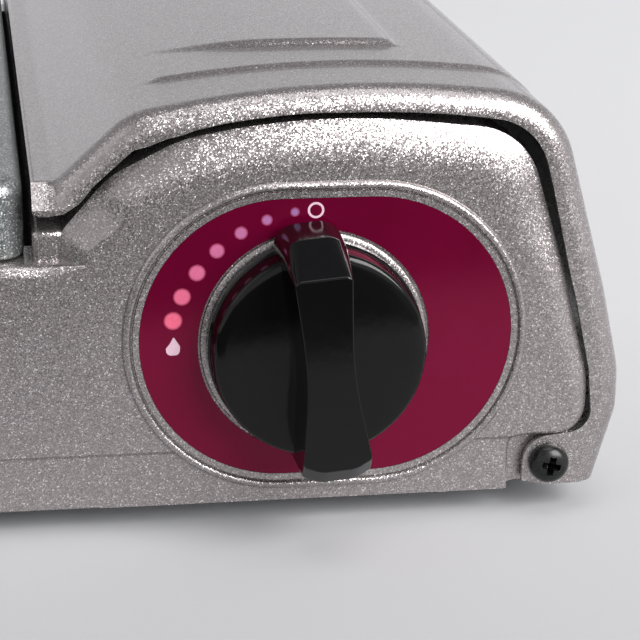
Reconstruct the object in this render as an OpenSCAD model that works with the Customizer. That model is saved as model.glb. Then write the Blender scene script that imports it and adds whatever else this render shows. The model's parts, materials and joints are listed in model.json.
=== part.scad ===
// Butane cassette stove: burner and drip tray on the left, container bay with a
// hinged cover on the right, control knob on the front panel.
// Millimetres. +Z up, +X to the right and -Y to the front, origin under the middle.

/* [Overall] */
// Width over body and cover
stove_w = 337; // [331:1:345]
// Depth over knob and rear cover screw
stove_d = 278; // [272:1:290]
// Height of the pan support above the table
stove_h = 85; // [84:0.5:90]
// Thickness of the body and cover sheet
sheet = 1; // [0.8:0.1:1.2]

/* [Body] */
// Clear height under the body
foot_h = 5; // [4:0.5:7]
// Radius of a rubber foot
foot_r = 9; // [7:0.5:11]
// Height of the shoulder that carries the drip tray
shoulder_h = 45.6; // [44:0.2:46.4]
// Radius of the body corners seen from above
corner_r = 22; // [16:1:30]
// Width of the shoulder
ledge_w = 13; // [11:0.5:16]
// Height of the set-back band along the bottom
band_h = 10.5; // [9.5:0.5:11]
// How far the band is set back
band_step = 0.6; // [0.3:0.1:0.8]
// Width of the turned-in bottom flange
flange_w = 9; // [8:0.5:11]
// Width of the ridge beside the bay
ridge_w = 4.5; // [4.2:0.1:5]
// Height of the ridge above the shoulder
ridge_h = 5.5; // [4.5:0.25:6]
// Depth over which the bay ends curve back
pillow_d = 3; // [2:0.25:4]

/* [Container cover] */
// Width of the cover
cover_w = 105.6; // [105:0.2:107]
// Height of the cover foot above the table
cover_foot_z = 59.4; // [59:0.2:60]
// Height of the cover's front rim above the table
cover_crest = 80.7; // [80:0.1:81.4]
// Gap between cover rim and front panel
cover_gap = 1.6; // [1.2:0.1:2]
// Radius of the rolled front and rear rims
rim_r = 4; // [3:0.25:4.5]
// Height of the first step on top
step_low = 0.9; // [0.5:0.1:1.2]
// Height of the second step on top
step_high = 1.4; // [0.8:0.1:1.6]
// Distance of the hinge axis from the right side
hinge_inset = 13.2; // [13:0.1:13.6]
// Height of the hinge axis above the table
hinge_z = 10.2; // [10:0.1:10.6]
// Radius of the cover's hinge ears
ear_r = 5; // [4.8:0.1:5]
// Radius of the cover screws
cover_screw_r = 2; // [1.8:0.1:2.2]
// Radius of the cover screw heads
cover_head_r = 3.5; // [3.2:0.1:3.8]
// Running clearance of pins in bores
run_gap = 0.08; // [0.04:0.01:0.1]
// Side clearance between parts that slide or turn
side_gap = 0.3; // [0.25:0.05:0.4]

/* [Drip tray and trivet] */
// Height of the tray rim above the table
tray_top = 65; // [64:0.25:66]
// Clearance round the tray
tray_gap = 1.3; // [1:0.1:1.6]
// Radius of the round dish
dish_r = 98; // [92:1:102]
// Radius of the burner opening
tray_hole_r = 47; // [45:0.5:50]
// Height of the dish floor above the table
dish_z = 57; // [55:0.5:58]
// Number of trivet arms
trivet_arms = 4; // [3:1:6]
// Thickness of a trivet arm
arm_t = 2.4; // [2:0.1:3]
// Radius of the trivet ring
trivet_ring_r = 80; // [74:1:84]

/* [Burner] */
// Radius of the burner bowl
bowl_r = 34; // [31:0.5:36]
// Number of flame slots in the cap
ports = 32; // [24:2:40]
// Radius of the mixing tube bore
tube_r = 8; // [6.5:0.25:8.5]

/* [Container and gas] */
// Radius of a fuel container
container_r = 33.5; // [32.5:0.25:33.5]
// Height of the container axis above the table
container_z = 43; // [42.5:0.25:43.5]
// Clearance between container and cradle
cradle_gap = 0.4; // [0.2:0.1:0.6]
// Radius of the container nozzle socket
socket_r = 4.6; // [4.4:0.1:4.8]
// Depth of the nozzle socket
socket_d = 9; // [8:0.5:10]

/* [Knob] */
// How far the knob stands out from the panel
knob_reach = 20.5; // [19:0.5:22]
// Radius of the knob disc
knob_r = 18.7; // [17.5:0.1:19.5]
// Lean of the grip at rest, in degrees
knob_tilt = 5; // [0:1:8]
// Height of the knob disc above the panel
knob_disc_h = 8.6; // [7:0.2:10]
// Radius of the raised seat round the knob
seat_r = 20.3; // [20:0.1:21]
// Radius of the spindle
spindle_r = 4; // [3.5:0.1:4.5]
// Stroke of the igniter plunger over the knob's full turn
plunger_stroke = 5; // [4:0.25:5.5]
// Turn of the knob from off to ignite, in degrees
knob_turn = 95; // [80:5:100]
// Half height of the label
label_r = 25.5; // [24.5:0.1:26]
// Half length of the label's straight sides
label_half = 7.8; // [7:0.1:8.5]

/* [Hidden] */
$fn = 48;

arc_n = 6;
// How far a sheet that runs into another one is thinned on each face
bite = 0.02;

// Places that everything else hangs on
left_x = -stove_w / 2;
right_x = stove_w / 2;
screw_head_h = 2.6;
front_y = -stove_d / 2 + knob_reach;
back_y = stove_d / 2 - screw_head_h - side_gap;
mid_y = (front_y + back_y) / 2;
base_z = foot_h;
band_z = base_z + band_h;
shoulder_z = base_z + shoulder_h;
cover_x = right_x - cover_w;
ridge_x = cover_x - 0.1;
ridge_z = shoulder_z + ridge_h;
label_in = 54.5;
label_up = 31;
label_x = right_x - label_in;
label_z = base_z + label_up;
knob_left = 2.3;
knob_down = 0.7;
knob_x = label_x - knob_left;
knob_z = label_z - knob_down;
hinge_x = right_x - hinge_inset;
container_right = 0.5;
container_x = knob_x + container_right;
recess_gap = 2.5;
recess_x = hinge_x - ear_r - recess_gap;
recess_d = 2.2;
wall_off = 5.2;
wall_x = hinge_x + wall_off;
tray_in_x = 3.5;
tray_in_y = 3;
tray_left = left_x + tray_in_x;
tray_right = ridge_x - tray_gap;
tray_front = front_y + tray_in_y;
tray_back = back_y - tray_in_y;
burner_x = (tray_left + tray_right) / 2;
burner_y = (tray_front + tray_back) / 2;

// ---- Outlines -----------------------------------------------------------------

// Points of an outline given as corners [x, y, radius]; each radius becomes an arc
function unit(v) = v / norm(v);
function corner_arc(a, b, c, r) =
    let (u = unit(a - b), v = unit(c - b))
    let (half = acos(max(-1, min(1, u * v))) / 2)
    let (reach = r / tan(half))
    let (centre = b + unit(u + v) * (r / sin(half)))
    let (p = b + u * reach - centre, q = b + v * reach - centre)
    let (turn = 180 - 2 * half, side = sign(p[0] * q[1] - p[1] * q[0]))
    [for (i = [0:arc_n])
        let (t = side * turn * i / arc_n)
        centre + [p[0] * cos(t) - p[1] * sin(t), p[0] * sin(t) + p[1] * cos(t)]];
function flat(c) = [c[0], c[1]];
function rounded(c, closed = false) =
    let (n = len(c))
    [for (i = [0:n - 1])
        let (ends = !closed && (i == 0 || i == n - 1))
        let (a = flat(c[(i + n - 1) % n]), b = flat(c[i]), d = flat(c[(i + 1) % n]))
        each (ends || c[i][2] == 0 ? [b] : corner_arc(a, b, d, c[i][2]))];

// Sideways unit vector at a point of an outline, to the right of its direction
function side_at(p, i, closed = false) =
    let (n = len(p))
    let (a = closed ? p[(i + n - 1) % n] : p[max(i - 1, 0)])
    let (b = closed ? p[(i + 1) % n] : p[min(i + 1, n - 1)])
    let (d = unit(b - a))
    [d[1], -d[0]];
function inset(p, d, closed = false) =
    [for (i = [0:len(p) - 1]) p[i] + d * side_at(p, i, closed)];
function box_corners(x0, y0, x1, y1, r) =
    [[x0, y0, r], [x0, y1, r], [x1, y1, r], [x1, y0, r]];

// Solid through a row of closed rings with the same number of points. The end rings
// are convex, or strips that run out on one face and back on the other, point for point.
module skin(rings, loop = false, strip = false) {
    n = len(rings);
    m = len(rings[0]);
    last = loop ? n - 1 : n - 2;
    sides = [for (i = [0:last], j = [0:m - 1])
        let (a = i * m, b = ((i + 1) % n) * m, k = (j + 1) % m)
        each [[a + j, b + j, b + k], [a + j, b + k, a + k]]];
    e = (n - 1) * m;
    caps = loop ? []
        : strip ? [for (j = [0:m / 2 - 2])
            each [[j, j + 1, m - 2 - j, m - 1 - j], [e + m - 1 - j, e + m - 2 - j, e + j + 1, e + j]]]
        : [[for (j = [0:m - 1]) j], [for (j = [m - 1:-1:0]) e + j]];
    polyhedron([for (r = rings) each r], concat(sides, caps), convexity = 10);
}

// Upright plate in the XZ plane from y0 to y0 + t
module upright(y0, t) {
    translate([0, y0 + t, 0]) rotate([90, 0, 0]) linear_extrude(t) children();
}

// The same thing at the front and, mirrored, at the back of the body
module both_ends() {
    children();
    translate([0, 2 * mid_y, 0]) mirror([0, 1, 0]) children();
}

module rod(a, b, r) {
    d = b - a;
    turn = atan2(d[1], d[0]);
    tilt = acos(d[2] / norm(d));
    translate(a) rotate([0, tilt, turn]) cylinder(r = r, h = norm(d));
}

// ---- Body shell ---------------------------------------------------------------

// Outer edge of the bay ends, from the shoulder over the top down to the hinge
arch_outer = rounded([
    [ridge_x + ridge_w, shoulder_z - 3, 0],
    [ridge_x + ridge_w, cover_foot_z - 3.5, 7],
    [cover_x + 13.1, cover_crest - 15.9, 14],
    [cover_x + 27, cover_crest - 8.8, 26],
    [cover_x + 51, cover_crest - 5.6, 160],
    [right_x - 19.5, cover_crest - 9.4, 13],
    [right_x - 11.5, base_z + 41, 60],
    [right_x - 6.1, base_z + 21, 20],
    [right_x - 6.4, band_z + 0.6, 4.5],
    [recess_x, band_z, 0]]);
// Width of the curved border along it, by point; beyond it the panel is flat
border_w = [[0, 6], [7, 6.3], [14, 7.5], [28, 8], [35, 8], [49, 7.5],
    [50, 3.9], [56, 3.9], [57, 2.6]];
arch_inner = [for (i = [0:len(arch_outer) - 1])
    arch_outer[i] + lookup(i, border_w) * side_at(arch_outer, i)];
arch_depth = 12;
seam_off = 4;
seam_x = ridge_x + ridge_w + seam_off;
flat_reach = 0.12;
border_n = 5;

// One ring of the curved border: back along the flange, round to the front, inwards
function border_ring(p, q) =
    let (u = q - p, w = norm(q - p), in = unit(q - p))
    let (front = [for (i = [0:border_n])
        let (a = 90 * i / border_n)
        [p + u * (1 - cos(a)), pillow_d * (1 - sin(a))]])
    let (back = [for (i = [border_n:-1:0])
        let (a = 90 * i / border_n)
        [p + in * (sheet + (w - sheet) * (1 - cos(a))), sheet + pillow_d * (1 - sin(a))]])
    [for (s = concat(
        [[p, arch_depth]],
        front,
        [[q + u * flat_reach, 0], [q + u * flat_reach, sheet]],
        back,
        [[p + in * sheet, arch_depth]]))
        [s[0][0], front_y + s[1], s[0][1]]];

module bay_border() {
    skin([for (i = [0:len(arch_outer) - 1]) border_ring(arch_outer[i], arch_inner[i])],
        strip = true);
}

// Sheet that runs into another one, so it's thinner than that one by a bite on each face
module bitten(y) {
    upright(y + bite, sheet - 2 * bite) children();
}

// Flat part of the bay end with the set-back band below it
module bay_face() {
    x0 = seam_x - 2;
    x1 = recess_x - bite;
    grown = [for (i = [0:len(arch_inner) - 1])
        arch_inner[i] + (arch_inner[i] - arch_outer[i]) * flat_reach / 2];
    bitten(front_y) polygon(concat(
        [for (g = grown) [g[0] - bite, g[1]]],
        [[x1, band_z], [x0, band_z], [x0, shoulder_z - 2.4]]));
    bitten(front_y + band_step)
        polygon([[x0, base_z + bite], [x0, band_z + sheet],
            [x1, band_z + sheet], [x1, base_z + bite]]);
}

// Recess round the cover hinge
module hinge_recess() {
    translate([recess_x - sheet / 2, front_y + band_step, base_z])
        cube([sheet, recess_d + sheet / 2 - band_step, band_h + sheet / 2]);
    translate([recess_x - sheet / 4, front_y + recess_d, base_z + bite])
        cube([wall_x - recess_x, sheet, band_h + sheet * 0.8]);
}

module bay_end() {
    bay_border();
    bay_face();
    hinge_recess();
}

// Plan of the tub walls from the front seam round the left side to the back seam
tub_plan = rounded([
    [seam_x, front_y, 0],
    [left_x, front_y, corner_r],
    [left_x, back_y, corner_r],
    [seam_x, back_y, 0]]);
shoulder_r = 2.2;
function tub_ring(i) =
    let (p = tub_plan[i], s = side_at(tub_plan, i))
    let (outer = [for (k = [0:4]) let (a = 90 * k / 4)
        [shoulder_r * (1 - cos(a)), shoulder_z - shoulder_r * (1 - sin(a))]])
    let (inner = [for (k = [4:-1:0]) let (a = 90 * k / 4)
        [shoulder_r - (shoulder_r - sheet) * cos(a),
            shoulder_z - shoulder_r + (shoulder_r - sheet) * sin(a)]])
    [for (q = concat(
        [[flange_w, base_z], [band_step, base_z], [band_step, band_z - band_step], [0, band_z]],
        outer,
        [[ledge_w, shoulder_z], [ledge_w, shoulder_z - sheet]],
        inner,
        [[sheet, band_z + sheet], [sheet + band_step, band_z],
            [sheet + band_step, base_z + sheet], [flange_w, base_z + sheet]]))
        [p[0] + s[0] * q[0], p[1] + s[1] * q[0], q[1]]];

module tub_walls() {
    skin([for (i = [0:len(tub_plan) - 1]) tub_ring(i)], strip = true);
}

// Ridge beside the bay, with the shoulder for the tray's right side
leg_h = 4;
ridge_leg = shoulder_z - leg_h;
module bay_ridge() {
    x0 = ridge_x - ledge_w;
    x1 = ridge_x + ridge_w + sheet / 4;
    z1 = shoulder_z - bite;
    z0 = shoulder_z - sheet + bite;
    upright(front_y + pillow_d, back_y - front_y - 2 * pillow_d)
        polygon([[x0, z0], [x0, z1], [ridge_x, z1], [ridge_x, ridge_z], [x1, ridge_z],
            [x1, ridge_leg], [x1 - sheet, ridge_leg],
            [x1 - sheet, ridge_z - sheet], [ridge_x + sheet, ridge_z - sheet],
            [ridge_x + sheet, z0]]);
}

// Low wall on the right, inside the cover, and the bottom flanges of the bay
module right_wall() {
    y0 = front_y + recess_d + sheet / 2;
    y1 = back_y - recess_d - sheet / 2;
    upright(y0, y1 - y0)
        polygon([[wall_x - flange_w, base_z], [wall_x - flange_w, base_z + sheet],
            [wall_x - sheet, base_z + sheet], [wall_x - sheet, band_z + 0.6],
            [wall_x, band_z + 0.6], [wall_x, base_z]]);
    xs = [seam_x - 2, recess_x - sheet / 4, wall_x - sheet / 2];
    ys = [front_y + band_step + sheet / 2, front_y + recess_d + sheet / 2, front_y + flange_w - sheet];
    both_ends() translate([0, 0, base_z + bite]) linear_extrude(sheet - 2 * bite)
        polygon([[xs[0], ys[0]], [xs[1], ys[0]], [xs[1], ys[1]], [xs[2], ys[1]],
            [xs[2], ys[2]], [xs[0], ys[2]]]);
}

bead_w = 2.7;
bead_h = 0.9;
module stadium(r, half) {
    translate([-half, -r]) square([2 * half, 2 * r]);
    for (s = [-1, 1]) translate([s * half, 0]) circle(r, $fn = 72);
}

// Raised bead round the label, in two layers
module label_bead() {
    for (layer = [[bead_w, 0.5], [bead_w - 0.6, bead_h]])
        translate([label_x, front_y + sheet * 0.9, label_z]) rotate([90, 0, 0])
            linear_extrude(layer[1] + sheet * 0.9) difference() {
                stadium(label_r + layer[0], label_half);
                stadium(label_r + bead_w - layer[0] + 0.3, label_half);
            }
}

// Raised seat round the knob
seat_h = 0.7;
module knob_seat() {
    translate([knob_x, front_y + sheet / 2, knob_z]) rotate([90, 0, 0])
        cylinder(r1 = seat_r + 0.2, r2 = seat_r - 0.3, h = seat_h + sheet / 2, $fn = 96);
}

side_vents_n = 7;
side_vent_l = 16;
back_vents_n = 4;
back_vent_l = 26;
vent_h = 3.2;
vent_gap = 10;
vent_up = 18;
vent_z = base_z + vent_up;
module body_vents() {
    for (i = [0:side_vents_n - 1])
        let (y = mid_y + (i - (side_vents_n - 1) / 2) * (side_vent_l + vent_gap))
        translate([left_x - 1, y - side_vent_l / 2, vent_z])
            cube([sheet + 3, side_vent_l, vent_h]);
    for (i = [0:back_vents_n - 1])
        let (x = burner_x + (i - (back_vents_n - 1) / 2) * (back_vent_l + vent_gap))
        translate([x - back_vent_l / 2, back_y - 3, vent_z])
            cube([back_vent_l, 5, vent_h]);
}

module body_shell() {
    color("rosybrown") difference() {
        union() {
            tub_walls();
            bay_ridge();
            right_wall();
            both_ends() bay_end();
            label_bead();
            knob_seat();
        }
        body_vents();
        translate([knob_x, front_y + 4, knob_z]) rotate([90, 0, 0])
            cylinder(r = spindle_r + 1.2, h = 8);
        both_ends() translate([hinge_x, front_y + recess_d + sheet + 1, hinge_z])
            rotate([90, 0, 0]) cylinder(r = cover_screw_r + 0.15, h = sheet + 2);
        base_holes();
    }
}

// ---- Base ---------------------------------------------------------------------

foot_in_left = 34;
foot_in_right = 24;
foot_in_y = 44;
foot_places = [for (x = [left_x + foot_in_left, wall_x - foot_in_right],
    y = [front_y + foot_in_y, back_y - foot_in_y]) [x, y]];
screw_in = 6;
screw_places = [for (x = [left_x + foot_in_left, burner_x, ridge_x - 10, wall_x - foot_in_right],
    y = [front_y + screw_in, back_y - screw_in]) [x, y]];
base_t = 0.8;
base_in = 3;
base_screw_r = 1.5;
stud_r = 3;
stud_head_r = 3.9;
slot_w = 4;
slot_gap = 16;

module base_holes() {
    for (p = screw_places) translate([p[0], p[1], base_z - 2])
        cylinder(r = base_screw_r + 0.1, h = 4, $fn = 24);
}

// Bottom pan with vent slots under the burner
module base_plate() {
    plan = rounded([
        [left_x + base_in, front_y + base_in, corner_r - base_in],
        [left_x + base_in, back_y - base_in, corner_r - base_in],
        [recess_x - 4, back_y - base_in, 2], [wall_x - 0.5, back_y - base_in - 9, 2],
        [wall_x - 0.5, front_y + base_in + 9, 2], [recess_x - 4, front_y + base_in, 2]], true);
    color("silver") translate([0, 0, base_z - base_t]) linear_extrude(base_t) difference() {
        polygon(plan);
        for (i = [-3:3], s = [-1, 1])
            translate([burner_x + i * slot_gap, burner_y + s * bowl_r]) slot(slot_w, 30);
        for (i = [-1.5:1.5])
            translate([container_x + i * 14, mid_y + foot_in_y]) slot(slot_w, 34);
        for (p = screw_places) translate(p) circle(base_screw_r + 0.1, $fn = 24);
        for (p = foot_places) translate(p) circle(stud_r + 0.1, $fn = 24);
    }
}
module slot(w, l) {
    translate([-w / 2, -l / 2 + w / 2]) square([w, l - w]);
    for (s = [-1, 1]) translate([0, s * (l - w) / 2]) circle(w / 2, $fn = 24);
}

module rubber_feet() {
    top = base_z - base_t;
    color("dimgray") for (p = foot_places) translate(p) rotate_extrude()
        polygon([[0, 0], [foot_r - 1.2, 0], [foot_r, 1.2], [foot_r - 0.6, top], [stud_r, top],
            [stud_r, base_z], [stud_head_r, base_z], [stud_r + 0.2, base_z + 2],
            [0, base_z + 2]]);
}

module base_screws() {
    top = base_z - base_t;
    color("gainsboro") for (p = screw_places) translate([p[0], p[1], 0]) {
        rotate_extrude($fn = 32)
            polygon([[0, top - 0.6], [2.4, top - 0.6], [2.8, top - 0.4], [2.8, top],
                [base_screw_r, top], [base_screw_r, base_z + 4], [0, base_z + 4]]);
    }
}

// ---- Container bay ------------------------------------------------------------

tube_up = 33;
tube_z = base_z + tube_up;
jet_left = 27;
jet_back = 25;
jet_x = container_x - jet_left;
jet_y = front_y + jet_back;
tube_turn = atan2(burner_y - jet_y, burner_x - jet_x);
tube_run = norm([burner_y - jet_y, burner_x - jet_x]);
part_x = ridge_x + ridge_w - 2 * sheet;
part_y = jet_y + (part_x - jet_x) * tan(tube_turn);
part_front = front_y + arch_depth + 1;
part_back = back_y - arch_depth - 1;
panel_off = 13;
panel_w = 39;
panel_y0 = burner_y + panel_off;
panel_y1 = panel_y0 + panel_w;

// Sheet wall between the burner side and the bay
module bay_partition() {
    h = ridge_z - sheet - base_z;
    color("darkgray") difference() {
        union() {
            translate([part_x - sheet, part_front, base_z])
                cube([sheet, part_back - part_front, h]);
            translate([part_x - 9, part_front, base_z])
                cube([9, part_back - part_front, sheet]);
            for (i = [0:3]) translate([part_x - sheet - 0.8, part_front + 62 + i * 46, base_z + 26])
                cube([1, 2.4, 16]);
        }
        translate([part_x - 5, part_y, tube_z]) rotate([0, 90, 0]) scale([1, 1.35, 1])
            cylinder(r = tube_r + 4.5, h = 8);
        translate([part_x - 10, panel_y0 - 1, base_z - 1]) cube([12, panel_y1 - panel_y0 + 2, 7]);
        translate([part_x - 10, lead_hole_y - 4, base_z - 1]) cube([12, 8, 8]);
    }
}

// Strip that leads burner heat to a cradle under the container
cradle_r = container_r + cradle_gap;
panel_t = 1.2;
module heat_panel() {
    z0 = base_z;
    a0 = 222;
    a1 = 318;
    arc_in = [for (i = [0:12]) let (a = a0 + (a1 - a0) * i / 12)
        [container_x + cradle_r * cos(a), container_z + cradle_r * sin(a)]];
    arc_out = [for (i = [12:-1:0]) let (a = a0 + (a1 - a0) * i / 12)
        [container_x + (cradle_r + panel_t) * cos(a), container_z + (cradle_r + panel_t) * sin(a)]];
    start = [burner_x - 22, z0];
    knee_x = container_x + (cradle_r + panel_t) * cos(a0) - 3;
    color("lightsteelblue") upright(panel_y0, panel_y1 - panel_y0)
        polygon(concat(
            [start, [start[0], z0 + panel_t], [part_x + 2, z0 + panel_t],
                [knee_x, arc_in[0][1] + 1.5], [knee_x + 2, arc_in[0][1] + 1.5]],
            arc_in,
            arc_out,
            [[knee_x + 0.6, arc_out[12][1]], [part_x + 2.6, z0]]));
}

// Rear rest that carries the container's far end, behind the rubber feet
rest_gap = 4.8;
rest_y = back_y - foot_in_y + stud_head_r + rest_gap;
rest_h = 18;
rest_foot = 12;
module container_rest() {
    color("darkgray") {
        upright(rest_y, sheet) difference() {
            translate([container_x - cradle_r, base_z]) square([2 * cradle_r, rest_h]);
            translate([container_x, container_z]) circle(cradle_r, $fn = 96);
        }
        translate([container_x - cradle_r, rest_y, base_z]) cube([2 * cradle_r, rest_foot, sheet]);
    }
}

// Leaf spring beside the ridge that holds the cover foot
catch_w = 18;
module cover_catch() {
    x = ridge_x + ridge_w + sheet / 4;
    z = ridge_z;
    color("silver") upright(mid_y - catch_w / 2, catch_w)
        polygon([[x, ridge_leg], [x, z + 0.3], [x - 2.7, z + 3.6], [x - 0.5, z + 6.6],
            [x + 0.1, z + 6.2], [x - 1.7, z + 3.6], [x + 0.8, z + 0.5], [x + 0.8, ridge_leg]]);
}

// ---- Drip tray and trivet -----------------------------------------------------

tray_seat = shoulder_z + side_gap;
tray_edge_r = 3;
tray_corner = 14;
tray_plan = rounded(box_corners(tray_left, tray_front, tray_right, tray_back, tray_corner), true);
function tray_ring(i) =
    let (p = tray_plan[i], s = side_at(tray_plan, i, true))
    let (outer = [for (k = [0:4]) let (a = 90 * k / 4)
        [tray_edge_r * (1 - cos(a)), tray_top - tray_edge_r * (1 - sin(a))]])
    let (inner = [for (k = [4:-1:0]) let (a = 90 * k / 4)
        [tray_edge_r - (tray_edge_r - sheet) * cos(a),
            tray_top - tray_edge_r + (tray_edge_r - sheet) * sin(a)]])
    [for (q = concat(
        [[0.8, tray_seat], [0, tray_seat + 1.2]],
        outer,
        [[8, tray_top], [8, tray_top - sheet]],
        inner,
        [[sheet, tray_seat + 1.4], [1.6, tray_seat + 0.4]]))
        [p[0] + s[0] * q[0], p[1] + s[1] * q[0], q[1]]];

// Dish profile from the rim inwards: slope, floor, collar round the burner
dish_profile = [[dish_r + 1, tray_top - sheet], [dish_r + 1, tray_top], [dish_r - 2, tray_top],
    [dish_r - 8, dish_z + 1.6], [dish_r - 11, dish_z], [tray_hole_r + 9, dish_z],
    [tray_hole_r + 5, dish_z + 1], [tray_hole_r + 2, dish_z + 5], [tray_hole_r, dish_z + 5.6],
    [tray_hole_r, dish_z + 4.6], [tray_hole_r + 1.2, dish_z + 4.2],
    [tray_hole_r + 4.2, dish_z + 0.2], [tray_hole_r + 8.6, dish_z - sheet],
    [dish_r - 10.6, dish_z - sheet], [dish_r - 7.2, dish_z + 0.8], [dish_r - 2.8, tray_top - sheet]];

module drip_tray() {
    color("slategray") {
        skin([for (i = [0:len(tray_plan) - 1]) tray_ring(i)], true);
        translate([0, 0, tray_top - sheet]) linear_extrude(sheet) difference() {
            polygon(inset(tray_plan, 7, true));
            translate([burner_x, burner_y]) circle(dish_r, $fn = 120);
        }
        translate([burner_x, burner_y, 0]) rotate_extrude($fn = 120) polygon(dish_profile);
    }
}

// Ring with upright arms; each arm has an inner step for small pots
module trivet() {
    z0 = dish_z + side_gap;
    rise = stove_h - z0;
    color("dimgray") translate([burner_x, burner_y, 0]) {
        rotate_extrude($fn = 96)
            polygon([[trivet_ring_r - 4, z0], [trivet_ring_r + 4, z0],
                [trivet_ring_r + 4, z0 + 1.6], [trivet_ring_r - 4, z0 + 1.6]]);
        for (i = [0:trivet_arms - 1]) rotate([0, 0, 360 / trivet_arms * (i + 0.5)])
            upright(-arm_t / 2, arm_t)
                polygon(rounded([[trivet_ring_r - 6, z0, 0],
                    [trivet_ring_r - 10, z0 + 0.325 * rise, 0.2 * rise],
                    [bowl_r + 11, z0 + 0.43 * rise, 0.14 * rise],
                    [bowl_r - 4, stove_h - 0.29 * rise, 0.16 * rise],
                    [bowl_r - 7, stove_h - 0.08 * rise, 1], [bowl_r - 3, stove_h - 0.08 * rise, 1],
                    [bowl_r + 1, stove_h - 0.165 * rise, 0.07 * rise],
                    [bowl_r + 6, stove_h, 0.1 * rise],
                    [dish_r - 4, stove_h, 0.14 * rise], [dish_r - 6, z0 + 0.5 * rise, 0.18 * rise],
                    [trivet_ring_r + 5, z0, 0]], true));
    }
}

// ---- Burner -------------------------------------------------------------------

bowl_wall = 2.5;
bowl_floor = 2.5;
bowl_h = 29;
boss_r = tube_r + 2.6;
bowl_z = tube_z - boss_r - 0.4;
bowl_top = bowl_z + bowl_h;
rim_h = 4;
screw_ring = 14;
screw_hole = 1.6;
// Hollow of the bowl, from its floor up to the cap
module bowl_inside() {
    rotate_extrude($fn = 72)
        polygon([[0, bowl_z + bowl_floor], [bowl_r - 13, bowl_z + bowl_floor],
            [bowl_r - 8.5, bowl_z + 6], [bowl_r - 6.5, bowl_top - 9],
            [bowl_r - bowl_wall, bowl_top - rim_h + 1], [bowl_r - bowl_wall, bowl_top + 1],
            [0, bowl_top + 1]]);
}

module burner_bowl() {
    color("darkgray") translate([burner_x, burner_y, 0]) difference() {
        union() {
            rotate_extrude($fn = 72)
                polygon([[0, bowl_z], [bowl_r - 12, bowl_z], [bowl_r - 6, bowl_z + 5],
                    [bowl_r - 4, bowl_top - 9], [bowl_r, bowl_top - rim_h], [bowl_r, bowl_top],
                    [0, bowl_top]]);
            translate([0, 0, tube_z]) rotate([0, -90, tube_turn])
                cylinder(r = boss_r, h = bowl_r + 6);
            translate([0, 0, bowl_z + 6]) rotate([0, 0, spark_a])
                translate([bowl_r - 8, -4, 0]) cube([lug_r - bowl_r + 8, 8, 8]);
        }
        translate([0, 0, tube_z]) rotate([0, -90, tube_turn])
            cylinder(r = tube_r + 1.2, h = bowl_r + 8);
        bowl_inside();
        for (a = [0:120:240]) rotate([0, 0, a + 90]) translate([screw_ring, 0, bowl_z - 1])
            cylinder(r = screw_hole, h = 6, $fn = 24);
    }
}

// Cap with flame slots all round
cap_h = 8.8;
cap_t = 3;
cap_out = 0.5;
cap_in = 4.5;
port_w = 1.8;
port_h = 2.6;
module burner_cap() {
    z = bowl_top + 0.05;
    top = z + cap_h;
    color("goldenrod") difference() {
        translate([burner_x, burner_y, 0]) rotate_extrude($fn = 72)
            polygon([[0, top - 0.8], [6, top - 0.2], [12, top - 1.6], [bowl_r - 8, top],
                [bowl_r - 2, top - 1.8], [bowl_r + cap_out, z + port_h + 0.8],
                [bowl_r + cap_out, z], [bowl_r - cap_in, z], [bowl_r - cap_in, z + port_h + 0.9],
                [bowl_r - 7, top - cap_t], [0, top - 0.8 - cap_t]]);
        translate([burner_x, burner_y, z + 1]) for (i = [0:ports - 1])
            rotate([0, 0, 360 / ports * i]) translate([bowl_r - cap_in - cap_t, -port_w / 2, 0])
                cube([cap_in + cap_t + cap_out + 2, port_w, port_h]);
    }
}

// Bridge of strip steel under the bowl
strip_t = 1.2;
strip_w = 24;
bridge_half = 26;
bridge_foot = 8.4;
module burner_bracket() {
    color("silver") translate([burner_x, burner_y, 0]) difference() {
        union() {
            upright(-strip_w / 2, strip_w) {
                translate([-bridge_half, bowl_z - strip_t]) square([2 * bridge_half, strip_t]);
                for (s = [0, 1]) mirror([s, 0]) {
                    translate([bridge_half - strip_t / 2, base_z])
                        square([strip_t, bowl_z - base_z]);
                    translate([bridge_half, base_z]) square([bridge_foot, strip_t]);
                }
            }
            translate([-strip_w / 2, -20, bowl_z - strip_t]) cube([strip_w, 40, strip_t]);
        }
        for (a = [0:120:240]) rotate([0, 0, a + 90]) translate([screw_ring, 0, bowl_z - 3])
            cylinder(r = screw_hole, h = 6, $fn = 24);
    }
}

module burner_screws() {
    z = bowl_z - strip_t;
    color("gainsboro") for (a = [0:120:240]) translate([burner_x, burner_y, 0])
        rotate([0, 0, a + 90]) translate([screw_ring, 0, 0]) rotate_extrude($fn = 24)
            polygon([[0, z - 1.8], [2.3, z - 1.8], [2.8, z - 1.2], [2.8, z], [1.5, z],
                [1.5, z + 4.4], [0, z + 4.4]]);
}

// Venturi: bell mouth, throat and widening bore, along the line from jet to burner
tube_start = 9;
tube_in = 5;
tube_end = tube_run - bowl_r + tube_in;
throat_r = 0.62 * tube_r;
tube_t = 1.2;
throat_t = 1.6;
throat_0 = 12;
throat_1 = 24;
flare_l = 34;
air_hole_l = 7;
module mixing_tube() {
    l = tube_end - tube_start;
    out = tube_r + 1.1;
    wide = throat_1 + flare_l;
    color("darkgray") translate([jet_x, jet_y, tube_z]) rotate([0, 90, tube_turn])
        translate([0, 0, tube_start]) difference() {
            rotate_extrude()
                polygon([[throat_r + 3.4, 0], [throat_r + 4.6, 2], [throat_r + 4.2, 4],
                    [throat_r + throat_t, throat_0], [throat_r + throat_t, throat_1],
                    [out, wide], [out, l], [out - tube_t, l], [out - tube_t, wide],
                    [throat_r, throat_1], [throat_r, throat_0], [throat_r + 2.2, 3]]);
            for (s = [-1, 1]) translate([-3, s * (throat_r + 2.4) - 2.2, throat_0 + 2])
                cube([6, 4.4, air_hole_l]);
        }
}

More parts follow.
